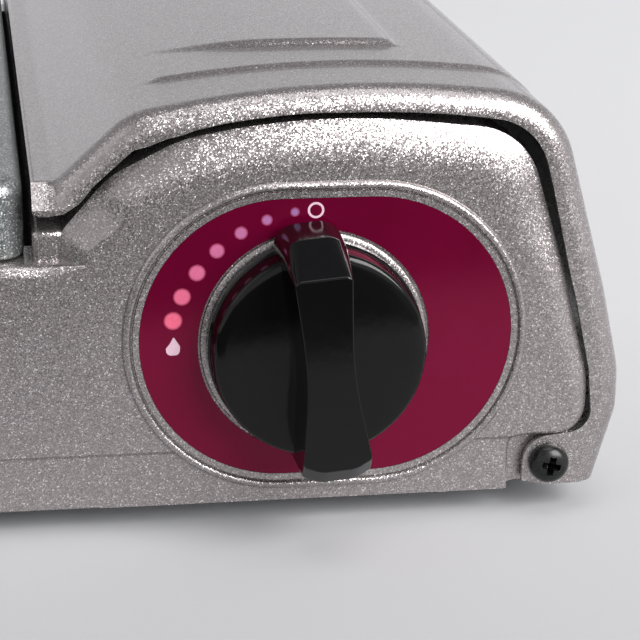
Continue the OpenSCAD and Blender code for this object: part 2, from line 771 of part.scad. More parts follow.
// Collar that trims the air holes
shutter_t = 0.8;
shutter_l = 9;
module air_shutter() {
    r0 = throat_r + throat_t + 0.02;
    color("silver") translate([jet_x, jet_y, tube_z]) rotate([0, 90, tube_turn])
        translate([0, 0, tube_start + throat_0 + 0.6]) rotate_extrude()
            polygon([[r0, 0], [r0 + shutter_t, 0], [r0 + shutter_t, shutter_l], [r0, shutter_l]]);
}

jet_l = 7;
jet_r = 3.2;
jet_hole = 0.5;
module gas_jet() {
    color("gold") translate([jet_x, jet_y, tube_z]) rotate([0, 90, tube_turn])
        difference() {
            rotate_extrude($fn = 32)
                polygon([[0, -2], [jet_r, -2], [jet_r, jet_l - 4], [jet_r / 2, jet_l - 1.5],
                    [jet_r / 2, jet_l], [0, jet_l]]);
            translate([0, 0, -3]) cylinder(r = jet_hole, h = jet_l + 5, $fn = 16);
        }
}

// ---- Gas governor -------------------------------------------------------------

gov_in = 12;
gov_l = 24;
gov_up = 22;
gov_h = 30;
gov_half = 18;
gov_front = front_y + gov_in;
gov_back = gov_front + gov_l;
gov_bottom = base_z + gov_up;
gov_flange = 3;
flange_r = 19;
boss_h = 3;
dome_r = 15;
dome_x = container_x + flange_r;
dome_y = gov_front + 12;
dome_z = gov_bottom + gov_h / 2;
dome_l = 6;
dome_screws_r = 13.2;
dome_screw_r = 1.1;
seal_r = socket_r - 0.7;
seal_t = 2.2;

// Frame of the round diaphragm chamber on the governor's side; z points to the right
module at_dome(x) {
    translate([x, dome_y, dome_z]) rotate([0, 90, 0]) children();
}
module at_dome_screws() {
    for (a = [45:90:315]) rotate([0, 0, a]) translate([dome_screws_r, 0, 0]) children();
}
module governor_body() {
    mouth = gov_back + boss_h + 1;
    color("lightgray") difference() {
        union() {
            translate([container_x - gov_half, gov_front + 4, gov_bottom])
                cube([2 * gov_half + 2, gov_l - 4, gov_h]);
            translate([container_x, gov_back, container_z]) rotate([90, 0, 0])
                cylinder(r = flange_r, h = gov_flange, $fn = 72);
            translate([knob_x, gov_front + 5, knob_z]) rotate([90, 0, 0])
                cylinder(r = 2 * spindle_r + 0.5, h = 5);
            at_dome(dome_x) cylinder(r = dome_r, h = dome_l);
            translate([jet_x, jet_y, tube_z]) rotate([0, 90, tube_turn])
                translate([0, 0, -14]) cylinder(r = jet_r + 2.2, h = 12);
            translate([container_x, gov_back + boss_h, container_z]) rotate([90, 0, 0])
                cylinder(r = 9.5, h = 2 * boss_h);
        }
        translate([container_x, mouth, container_z]) rotate([90, 0, 0])
            cylinder(r = socket_r, h = socket_d + 1);
        translate([container_x, mouth, container_z]) rotate([90, 0, 0])
            cylinder(r = seal_r, h = socket_d + 1 + seal_t);
        translate([knob_x, gov_front + 12, knob_z]) rotate([90, 0, 0])
            cylinder(r = spindle_r + run_gap, h = 14);
        translate([knob_x, gov_front + 9, knob_z]) rotate([90, 0, 0])
            cylinder(r = spindle_r + 1.9, h = 3);
        at_dome(dome_x + 2) cylinder(r = dome_r - 3.5, h = dome_l);
        at_dome(dome_x - 2) at_dome_screws() cylinder(r = dome_screw_r, h = 10, $fn = 20);
    }
}

dia_t = 0.8;
module diaphragm() {
    color("black") at_dome(dome_x + dome_l) difference() {
        cylinder(r = dome_r, h = dia_t);
        translate([0, 0, -1]) at_dome_screws() cylinder(r = dome_screw_r + 0.2, h = 4, $fn = 20);
    }
}

dome_h = 9;
dome_t = 1.2;
rim_t = 2.4;
module governor_cover() {
    color("silver") at_dome(dome_x + dome_l + dia_t) difference() {
        rotate_extrude()
            polygon([[0, dome_h], [8.5, dome_h], [10.5, dome_h - 2], [11, rim_t], [dome_r, rim_t],
                [dome_r, 0], [9.8, 0], [9.2, dome_h - 2.6], [7.8, dome_h - dome_t],
                [0, dome_h - dome_t]]);
        translate([0, 0, -1]) at_dome_screws() cylinder(r = dome_screw_r + 0.2, h = 6, $fn = 20);
    }
}

module governor_screws() {
    r = dome_screw_r - 0.05;
    color("gainsboro") at_dome(dome_x + dome_l + dia_t) at_dome_screws() rotate_extrude($fn = 20)
        polygon([[0, rim_t + 1.4], [r + 0.55, rim_t + 1.4], [r + 0.95, rim_t + 1],
            [r + 0.95, rim_t], [r, rim_t], [r, -4], [0, -4]]);
}

// Coil spring between diaphragm and cover
spring_turns = 4;
spring_r = 5.5;
wire_r = 0.5;
module diaphragm_spring() {
    h0 = dia_t + wire_r;
    h1 = dia_t + dome_h - dome_t - wire_r - 0.02;
    steps = spring_turns * 12;
    color("silver") at_dome(dome_x + dome_l)
        skin([for (i = [0:steps]) let (a = 30 * i, z = h0 + (h1 - h0) * i / steps)
            [for (k = [0:5]) let (b = -60 * k, r = spring_r + wire_r * cos(b))
                [r * cos(a), r * sin(a), z + wire_r * sin(b)]]]);
}

magnet_r = 10;
magnet_h = 5;
module magnet_ring() {
    r = flange_r - 0.4;
    color("dimgray") translate([container_x, gov_back, container_z]) rotate([-90, 0, 0])
        rotate_extrude($fn = 72)
            polygon([[magnet_r, 0], [r, 0], [r, magnet_h - 0.8], [r - 0.8, magnet_h],
                [magnet_r + 1, magnet_h], [magnet_r, magnet_h - 0.8]]);
}

module socket_seal() {
    color("black") translate([container_x, gov_back + boss_h - socket_d - seal_t, container_z])
        rotate([-90, 0, 0]) difference() {
            cylinder(r = seal_r - 0.02, h = seal_t - 0.1);
            translate([0, 0, -1]) cylinder(r = 1.8, h = 4);
        }
}

// Sheet stand under the governor; the igniter lies in it
stand_w = 34;
stand_foot = 8;
module governor_bracket() {
    y0 = gov_front + 6;
    y1 = gov_back - gov_flange - 1;
    w = stand_w / 2;
    color("silver") translate([container_x, 0, 0]) upright(y0, y1 - y0) {
        for (s = [0, 1]) mirror([s, 0]) {
            translate([w - strip_t, base_z]) square([strip_t, gov_bottom - base_z]);
            translate([w - strip_t, base_z]) square([stand_foot + strip_t, strip_t]);
        }
        translate([-w, gov_bottom - strip_t]) square([stand_w, strip_t]);
        translate([1 - w, knob_z - orbit_r - piezo_w / 2 - strip_t])
            square([stand_w - 2, strip_t]);
    }
}

// ---- Knob train ---------------------------------------------------------------

cam_y = front_y + sheet + 1.2;
cam_t = 2;
plunger_r = 3;
orbit_r = 17;
cam_clear = 0.5;
plunger_y = cam_y + cam_t + cam_clear;

spindle_in = 4;
module valve_spindle() {
    color("gold") translate([knob_x, front_y - knob_disc_h - spindle_in, knob_z])
        rotate([-90, 0, 0]) difference() {
            cylinder(r = spindle_r, h = gov_in + 11 + knob_disc_h + spindle_in);
            translate([spindle_r - 1, -10, -1]) cube([10, 20, knob_disc_h + 3]);
        }
}

module spindle_seal() {
    color("black") translate([knob_x, gov_front + 6.2, knob_z]) rotate([-90, 0, 0])
        difference() {
            cylinder(r = spindle_r + 1.85, h = 2.4);
            translate([0, 0, -1]) cylinder(r = spindle_r + run_gap, h = 5);
        }
}

// Face cam: a hub with a ramp that pushes the igniter plunger as the knob turns
module ignition_cam() {
    r0 = orbit_r - plunger_r - 0.5;
    r1 = orbit_r + plunger_r + 0.5;
    steps = 16;
    color("ivory") translate([knob_x, cam_y, knob_z]) {
        rotate([-90, 0, 0]) difference() {
            cylinder(r = r0 + 1, h = cam_t);
            translate([0, 0, -1]) cylinder(r = spindle_r + 0.01, h = cam_t + 2);
        }
        skin([for (i = [0:steps])
            let (a = -82 - (knob_turn + 16) * i / steps)
            let (top = cam_t + plunger_stroke * max(0, min(1, (-90 - a) / knob_turn)))
            [for (q = [[r0, 0], [r0, top], [r1, top], [r1, 0]])
                [q[0] * cos(a), q[1], q[0] * sin(a)]]]);
    }
}

piezo_w = 11;
piezo_y = plunger_y + plunger_stroke + 4;
piezo_l = 30;
plunger_l = piezo_y + 3.5 - plunger_y;
module piezo_igniter() {
    z = knob_z - orbit_r;
    color("whitesmoke") difference() {
        translate([knob_x - piezo_w / 2, piezo_y, z - piezo_w / 2])
            cube([piezo_w, piezo_l, piezo_w]);
        translate([knob_x, piezo_y - 1, z]) rotate([-90, 0, 0])
            cylinder(r = plunger_r + side_gap, h = plunger_stroke + 5);
    }
}

module igniter_plunger() {
    z = knob_z - orbit_r;
    color("red") translate([knob_x, plunger_y, z]) rotate([-90, 0, 0]) rotate_extrude($fn = 32)
        polygon([[0, 0], [0.8, 0], [plunger_r, 1.6], [plunger_r, plunger_l], [0, plunger_l]]);
}

label_t = 0.4;
module label_plate() {
    color("maroon") translate([label_x, front_y, label_z]) rotate([90, 0, 0])
        linear_extrude(label_t) difference() {
            stadium(label_r - 0.05, label_half);
            translate([knob_x - label_x, knob_z - label_z]) circle(seat_r + 0.35, $fn = 96);
        }
}

// Knob: stepped disc with a waisted grip bar that overhangs it at both ends.
// Sections of the bar, from its foot outwards: distance from the panel, heights above and
// below the axis, then half widths at the top, in the waist and at the bottom
grip_sections = [
    [4.2, 21.9, 20.2, 5.8, 4.2, 6],
    [knob_reach - 9.8, 21.7, 20, 5.4, 4, 5.8],
    [knob_reach - 3.6, 19, 19.6, 4.9, 3.9, 5.4],
    [knob_reach, 17, 15.8, 4.7, 3.8, 5.2]];
function grip_ring(g) =
    let (top = g[1], low = -g[2], w = [g[3], g[4], g[5]])
    let (p = rounded([[w[0], top, 2], [w[1], 0, 70], [w[2], low + 2.5, 1.2],
        [w[2] - 1.8, low, 1.2], [-w[2] + 1.8, low, 1.2], [-w[2], low + 2.5, 1.2],
        [-w[1], 0, 70], [-w[0], top, 2]], true))
    [for (q = p)
        [knob_x + q[0] * cos(knob_tilt) - q[1] * sin(knob_tilt), front_y - g[0],
            knob_z + q[0] * sin(knob_tilt) + q[1] * cos(knob_tilt)]];

module control_knob() {
    skirt_y = front_y - seat_h - side_gap;
    color("black") difference() {
        union() {
            translate([knob_x, skirt_y, knob_z]) rotate([90, 0, 0]) rotate_extrude($fn = 96)
                polygon([[0, 0], [knob_r + 0.5, 0], [knob_r + 0.5, 2.2], [knob_r, 2.6],
                    [knob_r, knob_disc_h - 2.2], [knob_r - 0.6, knob_disc_h - 1.2],
                    [knob_r - 2.2, knob_disc_h - 1], [0, knob_disc_h - 0.2]]);
            skin([for (i = [len(grip_sections) - 1:-1:0]) grip_ring(grip_sections[i])],
                strip = true);
        }
        translate([knob_x, skirt_y + 1, knob_z]) rotate([90, 0, 0])
            cylinder(r = spindle_r + 0.01, h = knob_disc_h + spindle_in + 0.2);
    }
}

// ---- Ignition -----------------------------------------------------------------

spark_a = -80;
spark_r = bowl_r + 6.5;
lug_r = bowl_r - 3.2;
spark_x = burner_x + spark_r * cos(spark_a);
spark_y = burner_y + spark_r * sin(spark_a);
insul_z = bowl_top - 16;

module electrode_bracket() {
    color("silver") translate([burner_x, burner_y, 0]) rotate([0, 0, spark_a]) difference() {
        union() {
            translate([lug_r, -4, insul_z + 4]) cube([14, 8, 1]);
            translate([lug_r, -4, bowl_z + 6]) cube([1, 8, insul_z + 5 - bowl_z - 6]);
        }
        translate([spark_r, 0, insul_z]) cylinder(r = 2.55, h = 8);
    }
}

module electrode_insulator() {
    color("white") translate([spark_x, spark_y, insul_z - 6]) rotate_extrude($fn = 32)
        polygon([[0.85, 0], [2.5, 0], [2.5, 11.05], [3.4, 11.05], [3.4, 12.2], [2.5, 12.8],
            [2.5, 17], [2, 18], [0.85, 18]]);
}

module electrode() {
    z1 = bowl_top + 4;
    color("silver") {
        translate([spark_x, spark_y, insul_z - 8]) cylinder(r = 0.8, h = z1 - insul_z + 8, $fn = 16);
        rod([spark_x, spark_y, z1 - 0.4],
            [burner_x + (bowl_r + 3) * cos(spark_a), burner_y + (bowl_r + 3) * sin(spark_a), z1 + 0.6],
            0.8, $fn = 16);
    }
}

lead_hole_y = burner_y - 60;
lead_r = 1.1;
lead_route = [[knob_x, piezo_y + piezo_l, knob_z - orbit_r],
    [knob_x, piezo_y + piezo_l + 8, knob_z - orbit_r],
    [knob_x - 8, piezo_y + piezo_l + 14, base_z + 5], [knob_x - 22, lead_hole_y - 3, base_z + 3.2],
    [part_x + 8, lead_hole_y, base_z + 3.2], [part_x - 14, lead_hole_y, base_z + 3.2],
    [spark_x + 16, spark_y - 12, base_z + 3.6], [spark_x + 3, spark_y - 3, base_z + 8],
    [spark_x, spark_y, base_z + 14], [spark_x, spark_y, insul_z - 8]];
function lead_dir(i) = let (n = len(lead_route))
    unit(lead_route[min(i + 1, n - 1)] - lead_route[max(i - 1, 0)]);
module ignition_lead() {
    color("firebrick") skin([for (i = [0:len(lead_route) - 1])
        let (d = lead_dir(i))
        let (u = unit(cross(d, [0.3, 0.2, 1])), v = cross(d, u))
        [for (k = [0:7]) lead_route[i] + lead_r * (cos(45 * k) * u + sin(45 * k) * v)]]);
}

// ---- Container cover ----------------------------------------------------------

strip_z = cover_foot_z + 5.1;
cover_outer = rounded([
    [cover_x, strip_z, 0],
    [cover_x + 3.5, strip_z, 2.5],
    [cover_x + 15.6, cover_crest - 5.3, 14],
    [cover_x + 54, cover_crest + 1.4, 180],
    [right_x - 13.1, cover_crest - 2.7, 16],
    [right_x - 3.3, base_z + 37, 60],
    [right_x, base_z + 22, 20],
    [right_x, base_z + 14.5, 9],
    [right_x - 4.4, base_z + 1, 0]]);

// Height of the steps on top at a place on the cover; t runs from 0 to 1 over the top
function ramp(v) = let (t = max(0, min(1, v))) t * t * (3 - 2 * t);
function bow(x) = 9 * pow((x - cover_x - 62) / 62, 2);
function steps_at(x, y) =
    let (d = min(y - front_y, back_y - y))
    step_low * ramp((d - 17.5 - bow(x)) / 2.5) * ramp((x - cover_x - 22) / 12)
            * ramp((right_x - 8 - x) / 14)
        + step_high * ramp((d - 24 - bow(x)) / 2.4) * ramp((x - cover_x - 20) / 26)
            * ramp((right_x - 36 - x) / 3);

cover_rows = [12, 17.5, 20, 24, 27];
rim_n = 4;
// Point k of a rolled rim: how far in from the outline, and how far back from the end
function rim_point(k, y, way, r) =
    let (a = 90 * k / rim_n)
    [rim_r - r * cos(a), y + way * (rim_r - r * sin(a))];
function cover_section(x) =
    let (lip = lip_in + 0.2, r = rim_r - sheet)
    let (rows = concat([for (d = cover_rows) front_y + d],
        [for (k = [len(cover_rows) - 1:-1:0]) back_y - cover_rows[k]]))
    concat(
        [[lip, front_y]],
        [for (k = [rim_n:-1:0]) rim_point(k, front_y, 1, rim_r)],
        [for (y = rows) [-steps_at(x, y), y]],
        [for (k = [0:rim_n]) rim_point(k, back_y, -1, rim_r)],
        [[lip, back_y], [lip, back_y - sheet]],
        [for (k = [rim_n:-1:0]) rim_point(k, back_y, -1, r)],
        [for (k = [len(rows) - 1:-1:0]) [sheet, rows[k]]],
        [for (k = [0:rim_n]) rim_point(k, front_y, 1, r)],
        [[lip, front_y + sheet]]);
function cover_ring(i) =
    let (p = cover_outer[i], s = side_at(cover_outer, i))
    [for (v = cover_section(p[0])) [p[0] + s[0] * v[0], v[1], p[1] + s[1] * v[0]]];

bush_r = cover_screw_r + 1.1;
lip_in = rim_r + 0.2;
// Flat pieces of the rim: the corner over the ridge, and the hinge ear
module cover_lip() {
    left = cover_x + bite;
    top = strip_z - lip_in;
    low = [for (q = inset(cover_outer, lip_in)) if (q[1] < base_z + 19) q];
    tip = cover_outer[len(cover_outer) - 1] + [-0.32, 0.31];
    bitten(front_y) {
        polygon([[left, cover_foot_z], [left, top], [cover_x + 6, top + 2], [cover_x + 7, top + 1],
            [cover_x + ridge_w + 1, cover_foot_z]]);
        difference() {
            union() {
                polygon(concat(low, [tip], [[hinge_x, hinge_z - ear_r], [hinge_x, hinge_z + ear_r],
                    [hinge_x + 3, hinge_z + ear_r + 0.5], [hinge_x + 5.6, hinge_z + ear_r + 2.6],
                    [low[0][0] - 0.6, low[0][1]]]));
                translate([hinge_x, hinge_z]) circle(ear_r);
            }
            translate([hinge_x, hinge_z]) circle(bush_r);
        }
    }
}

// Left edge of the cover, closed by a wall that ends just above the ridge
module cover_foot() {
    wall = [for (v = concat(
        [for (k = [rim_n:-1:0]) rim_point(k, front_y + bite, 1, rim_r)],
        [for (k = [0:rim_n]) rim_point(k, back_y - bite, -1, rim_r)])) [v[1], strip_z - bite - v[0]]];
    low = cover_foot_z + bite;
    translate([cover_x + 2 * bite, 0, 0]) rotate([90, 0, 90]) linear_extrude(sheet)
        polygon(concat([[front_y + bite, low]], wall, [[back_y - bite, low]]));
}

module container_cover() {
    color("rosybrown") {
        skin([for (i = [len(cover_outer) - 1:-1:0]) cover_ring(i)], strip = true);
        cover_foot();
        both_ends() cover_lip();
    }
}

// Nylon collars in the cover's ears; the flange spaces the ear from the body
module cover_bushes() {
    r = cover_screw_r + run_gap;
    w = recess_d - side_gap;
    color("white") both_ends() translate([hinge_x, front_y, hinge_z]) rotate([-90, 0, 0])
        rotate_extrude($fn = 48)
            polygon([[r, 0], [bush_r, 0], [bush_r, sheet], [bush_r + 1.3, sheet],
                [bush_r + 1.3, w], [r, w]]);
}

module cover_screws() {
    color("black") both_ends() translate([hinge_x, front_y - side_gap, hinge_z])
        rotate([90, 0, 0]) difference() {
            rotate_extrude($fn = 48)
                polygon([[0, -recess_d - 5], [cover_screw_r, -recess_d - 5], [cover_screw_r, 0],
                    [cover_head_r, 0], [cover_head_r, 1], [cover_head_r - 0.5, 1.9],
                    [cover_head_r - 1.6, screw_head_h], [0, screw_head_h]]);
            for (a = [0, 90]) rotate([0, 0, a + 20]) translate([-1.7, -0.4, screw_head_h - 1.3])
                cube([3.4, 0.8, 2]);
        }
}

module cover_nuts() {
    color("silver") both_ends()
        translate([hinge_x, front_y + recess_d + sheet, hinge_z]) rotate([-90, 0, 0])
            difference() {
                cylinder(r = 3.9, h = 1.6, $fn = 6);
                translate([0, 0, -1]) cylinder(r = cover_screw_r + 0.01, h = 5, $fn = 32);
            }
}

body_shell();
base_plate();
rubber_feet();
bay_partition();
heat_panel();
container_rest();
drip_tray();
trivet();
burner_bowl();
burner_cap();
burner_bracket();
burner_screws();
mixing_tube();
air_shutter();
gas_jet();
governor_body();
governor_cover();
governor_screws();
diaphragm();
diaphragm_spring();
magnet_ring();
socket_seal();
governor_bracket();
valve_spindle();
spindle_seal();
control_knob();
label_plate();
ignition_cam();
piezo_igniter();
igniter_plunger();
ignition_lead();
electrode();
electrode_insulator();
electrode_bracket();
container_cover();
cover_screws();
cover_bushes();
cover_nuts();
cover_catch();
base_screws();
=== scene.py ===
import json
import math

import bmesh
import bpy
from mathutils import Matrix, Vector


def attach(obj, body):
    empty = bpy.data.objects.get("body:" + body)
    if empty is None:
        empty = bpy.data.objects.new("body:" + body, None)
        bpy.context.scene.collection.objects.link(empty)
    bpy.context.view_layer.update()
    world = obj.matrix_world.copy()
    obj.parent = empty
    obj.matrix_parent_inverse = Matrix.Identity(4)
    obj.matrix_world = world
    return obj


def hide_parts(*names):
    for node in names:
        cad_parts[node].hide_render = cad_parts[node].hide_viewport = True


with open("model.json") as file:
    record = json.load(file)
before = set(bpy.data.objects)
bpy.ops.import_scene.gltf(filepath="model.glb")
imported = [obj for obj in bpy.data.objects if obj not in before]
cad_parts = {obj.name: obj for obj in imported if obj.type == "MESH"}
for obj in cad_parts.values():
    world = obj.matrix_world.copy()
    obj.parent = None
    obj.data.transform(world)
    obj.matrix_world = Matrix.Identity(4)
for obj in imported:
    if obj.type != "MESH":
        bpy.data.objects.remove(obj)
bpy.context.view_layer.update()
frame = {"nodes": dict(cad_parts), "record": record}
scene = bpy.context.scene
scene.view_settings.view_transform = "Standard"
mm = 0.001  # shapes are made in millimetres and finished in metres

# Camera

cameraSpec = {
    "place": (0.05355, -0.49272, 0.16346),
    "right": (0.988223, -0.152607, 0.011245),
    "up": (0.037041, 0.309867, 0.950058),
    "forward": (0.148470, 0.938453, -0.311871),
    "lens": 127.14,
    "sensor": 36,
}


def makeCamera(spec):
    data = bpy.data.cameras.new("camera")
    data.lens = spec["lens"]
    data.sensor_width = spec["sensor"]
    data.clip_start = 0.02
    data.clip_end = 30
    camera = bpy.data.objects.new("camera", data)
    scene.collection.objects.link(camera)
    axes = Matrix((spec["right"], spec["up"], -Vector(spec["forward"]))).transposed()
    camera.matrix_world = Matrix.Translation(spec["place"]) @ axes.to_4x4()
    scene.camera = camera


makeCamera(cameraSpec)
print("camera placed")

# Places that the pieces share, in millimetres

stove = {
    "left": -168.5,
    "front": -118.5,
    "back": 136.1,
    "base": 5,
    "band": 15.5,  # top of the set-back band
    "bandStep": 0.6,
    "bandSlope": 0.7,
    "shoulder": 50.6,
    "seam": 73.3,
    "recess": 147.8,
    "recessDepth": 2.2,
    "wall": 160.5,
    "sheet": 0.95,
}
middleY = (stove["front"] + stove["back"]) / 2
hinge = Vector((155.3, 10.2))
knobAxis = Vector((111.7, 35.3))
burner = Vector((-51.75, 8.8))
forward = Vector((0, -1, 0))  # out of the front, the axis of round pieces

# Helpers


def ease(t):
    t = max(0.0, min(1.0, t))
    return t * t * (3 - 2 * t)


def alongTable(t, table):  # value at t from (place, value) pairs, eased between them
    for (a, va), (b, vb) in zip(table, table[1:]):
        if t <= b:
            return va + (vb - va) * ease((t - a) / (b - a))
    return table[-1][1]


def roundedPath(corners, steps=14, closed=False):
    points = []
    count = len(corners)
    for i, corner in enumerate(corners):
        here = Vector(corner[:2])
        radius = corner[2] if len(corner) > 2 else 0
        if radius == 0 or (not closed and i in (0, count - 1)):
            points.append(here)
            continue
        before = (Vector(corners[i - 1][:2]) - here).normalized()
        after = (Vector(corners[(i + 1) % count][:2]) - here).normalized()
        half = before.angle(after) / 2
        centre = here + (before + after).normalized() * (radius / math.sin(half))
        start = here + before * (radius / math.tan(half)) - centre
        end = here + after * (radius / math.tan(half)) - centre
        turn = math.copysign(math.pi - 2 * half, start.cross(end))
        for k in range(steps + 1):
            points.append(centre + Matrix.Rotation(turn * k / steps, 2) @ start)
    return points


def spread(points, gap):  # the same path with its points an even distance apart
    lengths = [0.0]
    for a, b in zip(points, points[1:]):
        lengths.append(lengths[-1] + (b - a).length)
    count = max(2, round(lengths[-1] / gap))
    out, j = [], 0
    for i in range(count + 1):
        at = lengths[-1] * i / count
        while j < len(points) - 2 and lengths[j + 1] < at:
            j += 1
        share = (at - lengths[j]) / max(1e-9, lengths[j + 1] - lengths[j])
        out.append(points[j].lerp(points[j + 1], share))
    return out


def sideOf(points, i, closed=False):  # unit vector to the right of the path
    if closed:
        way = points[(i + 1) % len(points)] - points[i - 1]
    else:
        way = points[min(i + 1, len(points) - 1)] - points[max(i - 1, 0)]
    way.normalize()
    return Vector((way.y, -way.x))


def backOf(point):  # the same place at the other end of the body
    return Vector((point[0], 2 * middleY - point[1], point[2]))


def ringAt(centre, radius, y, count):  # circle in a plane across Y
    turns = [2 * math.pi * k / count for k in range(count)]
    return [(centre[0] + radius * math.cos(t), y, centre[1] + radius * math.sin(t)) for t in turns]


def quarterRound(radius, top, steps):  # from an upright face over to a flat top
    turns = [math.pi / 2 * k / steps for k in range(steps + 1)]
    return [(radius * (1 - math.cos(t)), top - radius * (1 - math.sin(t))) for t in turns]


def rectangle(x0, x1, z0, z1):
    return [(x0, z0), (x0, z1), (x1, z1), (x1, z0)]


def only(geom, kind):
    return [item for item in geom if isinstance(item, kind)]


def addLoop(bm, points, closed=True):
    row = [bm.verts.new(p) for p in points]
    edges = [bm.edges.new(pair) for pair in zip(row, row[1:])]
    if closed:
        edges.append(bm.edges.new((row[-1], row[0])))
    return row, edges


def edgesAlong(bm, row, closed=False):
    edges = [bm.edges.get(pair) for pair in zip(row, row[1:])]
    if closed:
        edges.append(bm.edges.get((row[-1], row[0])))
    return edges


def loft(bm, rings, closed=False):
    # the first ring is drawn, then extruded ring by ring
    row, edges = addLoop(bm, rings[0], closed)
    rows = [row]
    for ring in rings[1:]:
        made = bmesh.ops.extrude_edge_only(bm, edges=edges)["geom"]
        fresh = set(only(made, bmesh.types.BMVert))
        following = []
        for vert in row:
            other = next(e.other_vert(vert) for e in vert.link_edges if e.other_vert(vert) in fresh)
            following.append(other)
        for vert, place in zip(following, ring):
            vert.co = place
        row = following
        edges = edgesAlong(bm, row, closed)
        rows.append(row)
    return rows


def capRow(bm, row):
    return bmesh.ops.contextual_create(bm, geom=row)


def spun(bm, profile, centre, steps):  # profile points are (radius, distance forward)
    out = forward.orthogonal().normalized()
    places = [Vector(centre) + out * r + forward * h for r, h in profile]
    row, edges = addLoop(bm, places, closed=False)
    bmesh.ops.spin(bm, geom=row + edges, cent=centre, axis=forward, angle=2 * math.pi,
                   steps=steps, use_merge=True)


def thicken(bm, faces, depth):  # faces drawn out along Y into a solid
    made = bmesh.ops.extrude_face_region(bm, geom=faces, use_keep_orig=True)["geom"]
    bmesh.ops.translate(bm, vec=(0, depth, 0), verts=only(made, bmesh.types.BMVert))


def prism(bm, outline, y0, y1):  # solid between two depths, from an outline in X and Z
    row = addLoop(bm, [(x, y0, z) for x, z in outline])[0]
    thicken(bm, capRow(bm, row)["faces"], y1 - y0)


def bothEnds(bm):  # the same shape at the back, mirrored
    made = bmesh.ops.duplicate(bm, geom=bm.verts[:] + bm.edges[:] + bm.faces[:])["geom"]
    for vert in only(made, bmesh.types.BMVert):
        vert.co = backOf(vert.co)
    bmesh.ops.reverse_faces(bm, faces=only(made, bmesh.types.BMFace))


def cutAt(bm, place, normal, **options):  # the whole mesh divided by a plane
    bmesh.ops.bisect_plane(bm, geom=bm.verts[:] + bm.edges[:] + bm.faces[:],
                           plane_co=place, plane_no=normal, **options)


def pieceFrom(bm, name, finish, body, replaces=(), wall=0, bevel=0, angle=35, outside=None,
              weld=0.004, bevelSteps=2, flats=False):
    # outside is a point in front of the piece's outer face, for open sheets
    bmesh.ops.remove_doubles(bm, verts=bm.verts, dist=weld)
    bmesh.ops.dissolve_degenerate(bm, edges=bm.edges, dist=weld / 2)
    bmesh.ops.recalc_face_normals(bm, faces=bm.faces)
    if outside is not None:
        outside = Vector(outside)
        near = min(bm.faces, key=lambda f: (f.calc_center_median() - outside).length)
        if near.normal.dot(outside - near.calc_center_median()) < 0:
            bmesh.ops.reverse_faces(bm, faces=bm.faces)
    bmesh.ops.scale(bm, vec=(mm, mm, mm), verts=bm.verts)
    bm.edges.index_update()
    rim = [edge.index for edge in bm.edges if edge.is_boundary]
    mesh = bpy.data.meshes.new(name)
    bm.to_mesh(mesh)
    bm.free()
    mesh.shade_smooth()
    mesh.set_sharp_from_angle(angle=math.radians(angle))
    for index in rim:  # a sheet's rim meets its faces at a hard edge
        mesh.edges[index].use_edge_sharp = True
    mesh.materials.append(finishes[finish])
    piece = bpy.data.objects.new(name, mesh)
    scene.collection.objects.link(piece)
    if wall:
        solidify = piece.modifiers.new("sheet", "SOLIDIFY")
        solidify.thickness = wall * mm
        solidify.offset = -1
        solidify.use_quality_normals = True
    if bevel:
        edge = piece.modifiers.new("edge", "BEVEL")
        edge.width = bevel * mm
        edge.segments = bevelSteps
        edge.limit_method = "ANGLE"
        edge.angle_limit = math.radians(angle)
        edge.use_clamp_overlap = True
    if flats:  # large flat faces keep their own direction beside curved ones
        weigh = piece.modifiers.new("flats", "WEIGHTED_NORMAL")
        weigh.keep_sharp = True
    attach(piece, body)
    if replaces:
        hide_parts(*replaces)


# Finishes, one for each material slot; sizes in millimetres

noiseSpan = (0.3, 0.7)  # where most of a noise texture's values lie
grainDepth = 0.3  # height of the grain as a share of its size


def nodeChain(name):
    material = bpy.data.materials.new(name)
    material.use_nodes = True
    tree = material.node_tree
    return material, tree.nodes, tree.links, tree.nodes["Principled BSDF"]


def objectNoise(nodes, links, coords, size, detail):
    noise = nodes.new("ShaderNodeTexNoise")
    noise.inputs["Scale"].default_value = 1 / (size * mm)
    noise.inputs["Detail"].default_value = detail
    links.new(coords.outputs["Object"], noise.inputs["Vector"])
    return noise


def rampFrom(nodes, links, source, stops):
    ramp = nodes.new("ShaderNodeValToRGB")
    elements = ramp.color_ramp.elements
    while len(elements) < len(stops):
        elements.new(0.5)
    for element, (place, colour) in zip(elements, stops):
        element.position = place
        element.color = (*colour, 1)
    links.new(source, ramp.inputs["Fac"])
    return ramp


def vectorMath(nodes, links, operation, source):
    step = nodes.new("ShaderNodeVectorMath")
    step.operation = operation
    links.new(source, step.inputs[0])
    return step


def rangeFrom(nodes, links, source, before, after):
    span = nodes.new("ShaderNodeMapRange")
    for socket, value in zip(("From Min", "From Max", "To Min", "To Max"), (*before, *after)):
        span.inputs[socket].default_value = value
    links.new(source, span.inputs["Value"])
    return span.outputs["Result"]


def bumpFrom(nodes, links, height, strength, distance):
    bump = nodes.new("ShaderNodeBump")
    bump.inputs["Strength"].default_value = strength
    bump.inputs["Distance"].default_value = distance * mm
    links.new(height, bump.inputs["Height"])
    return bump


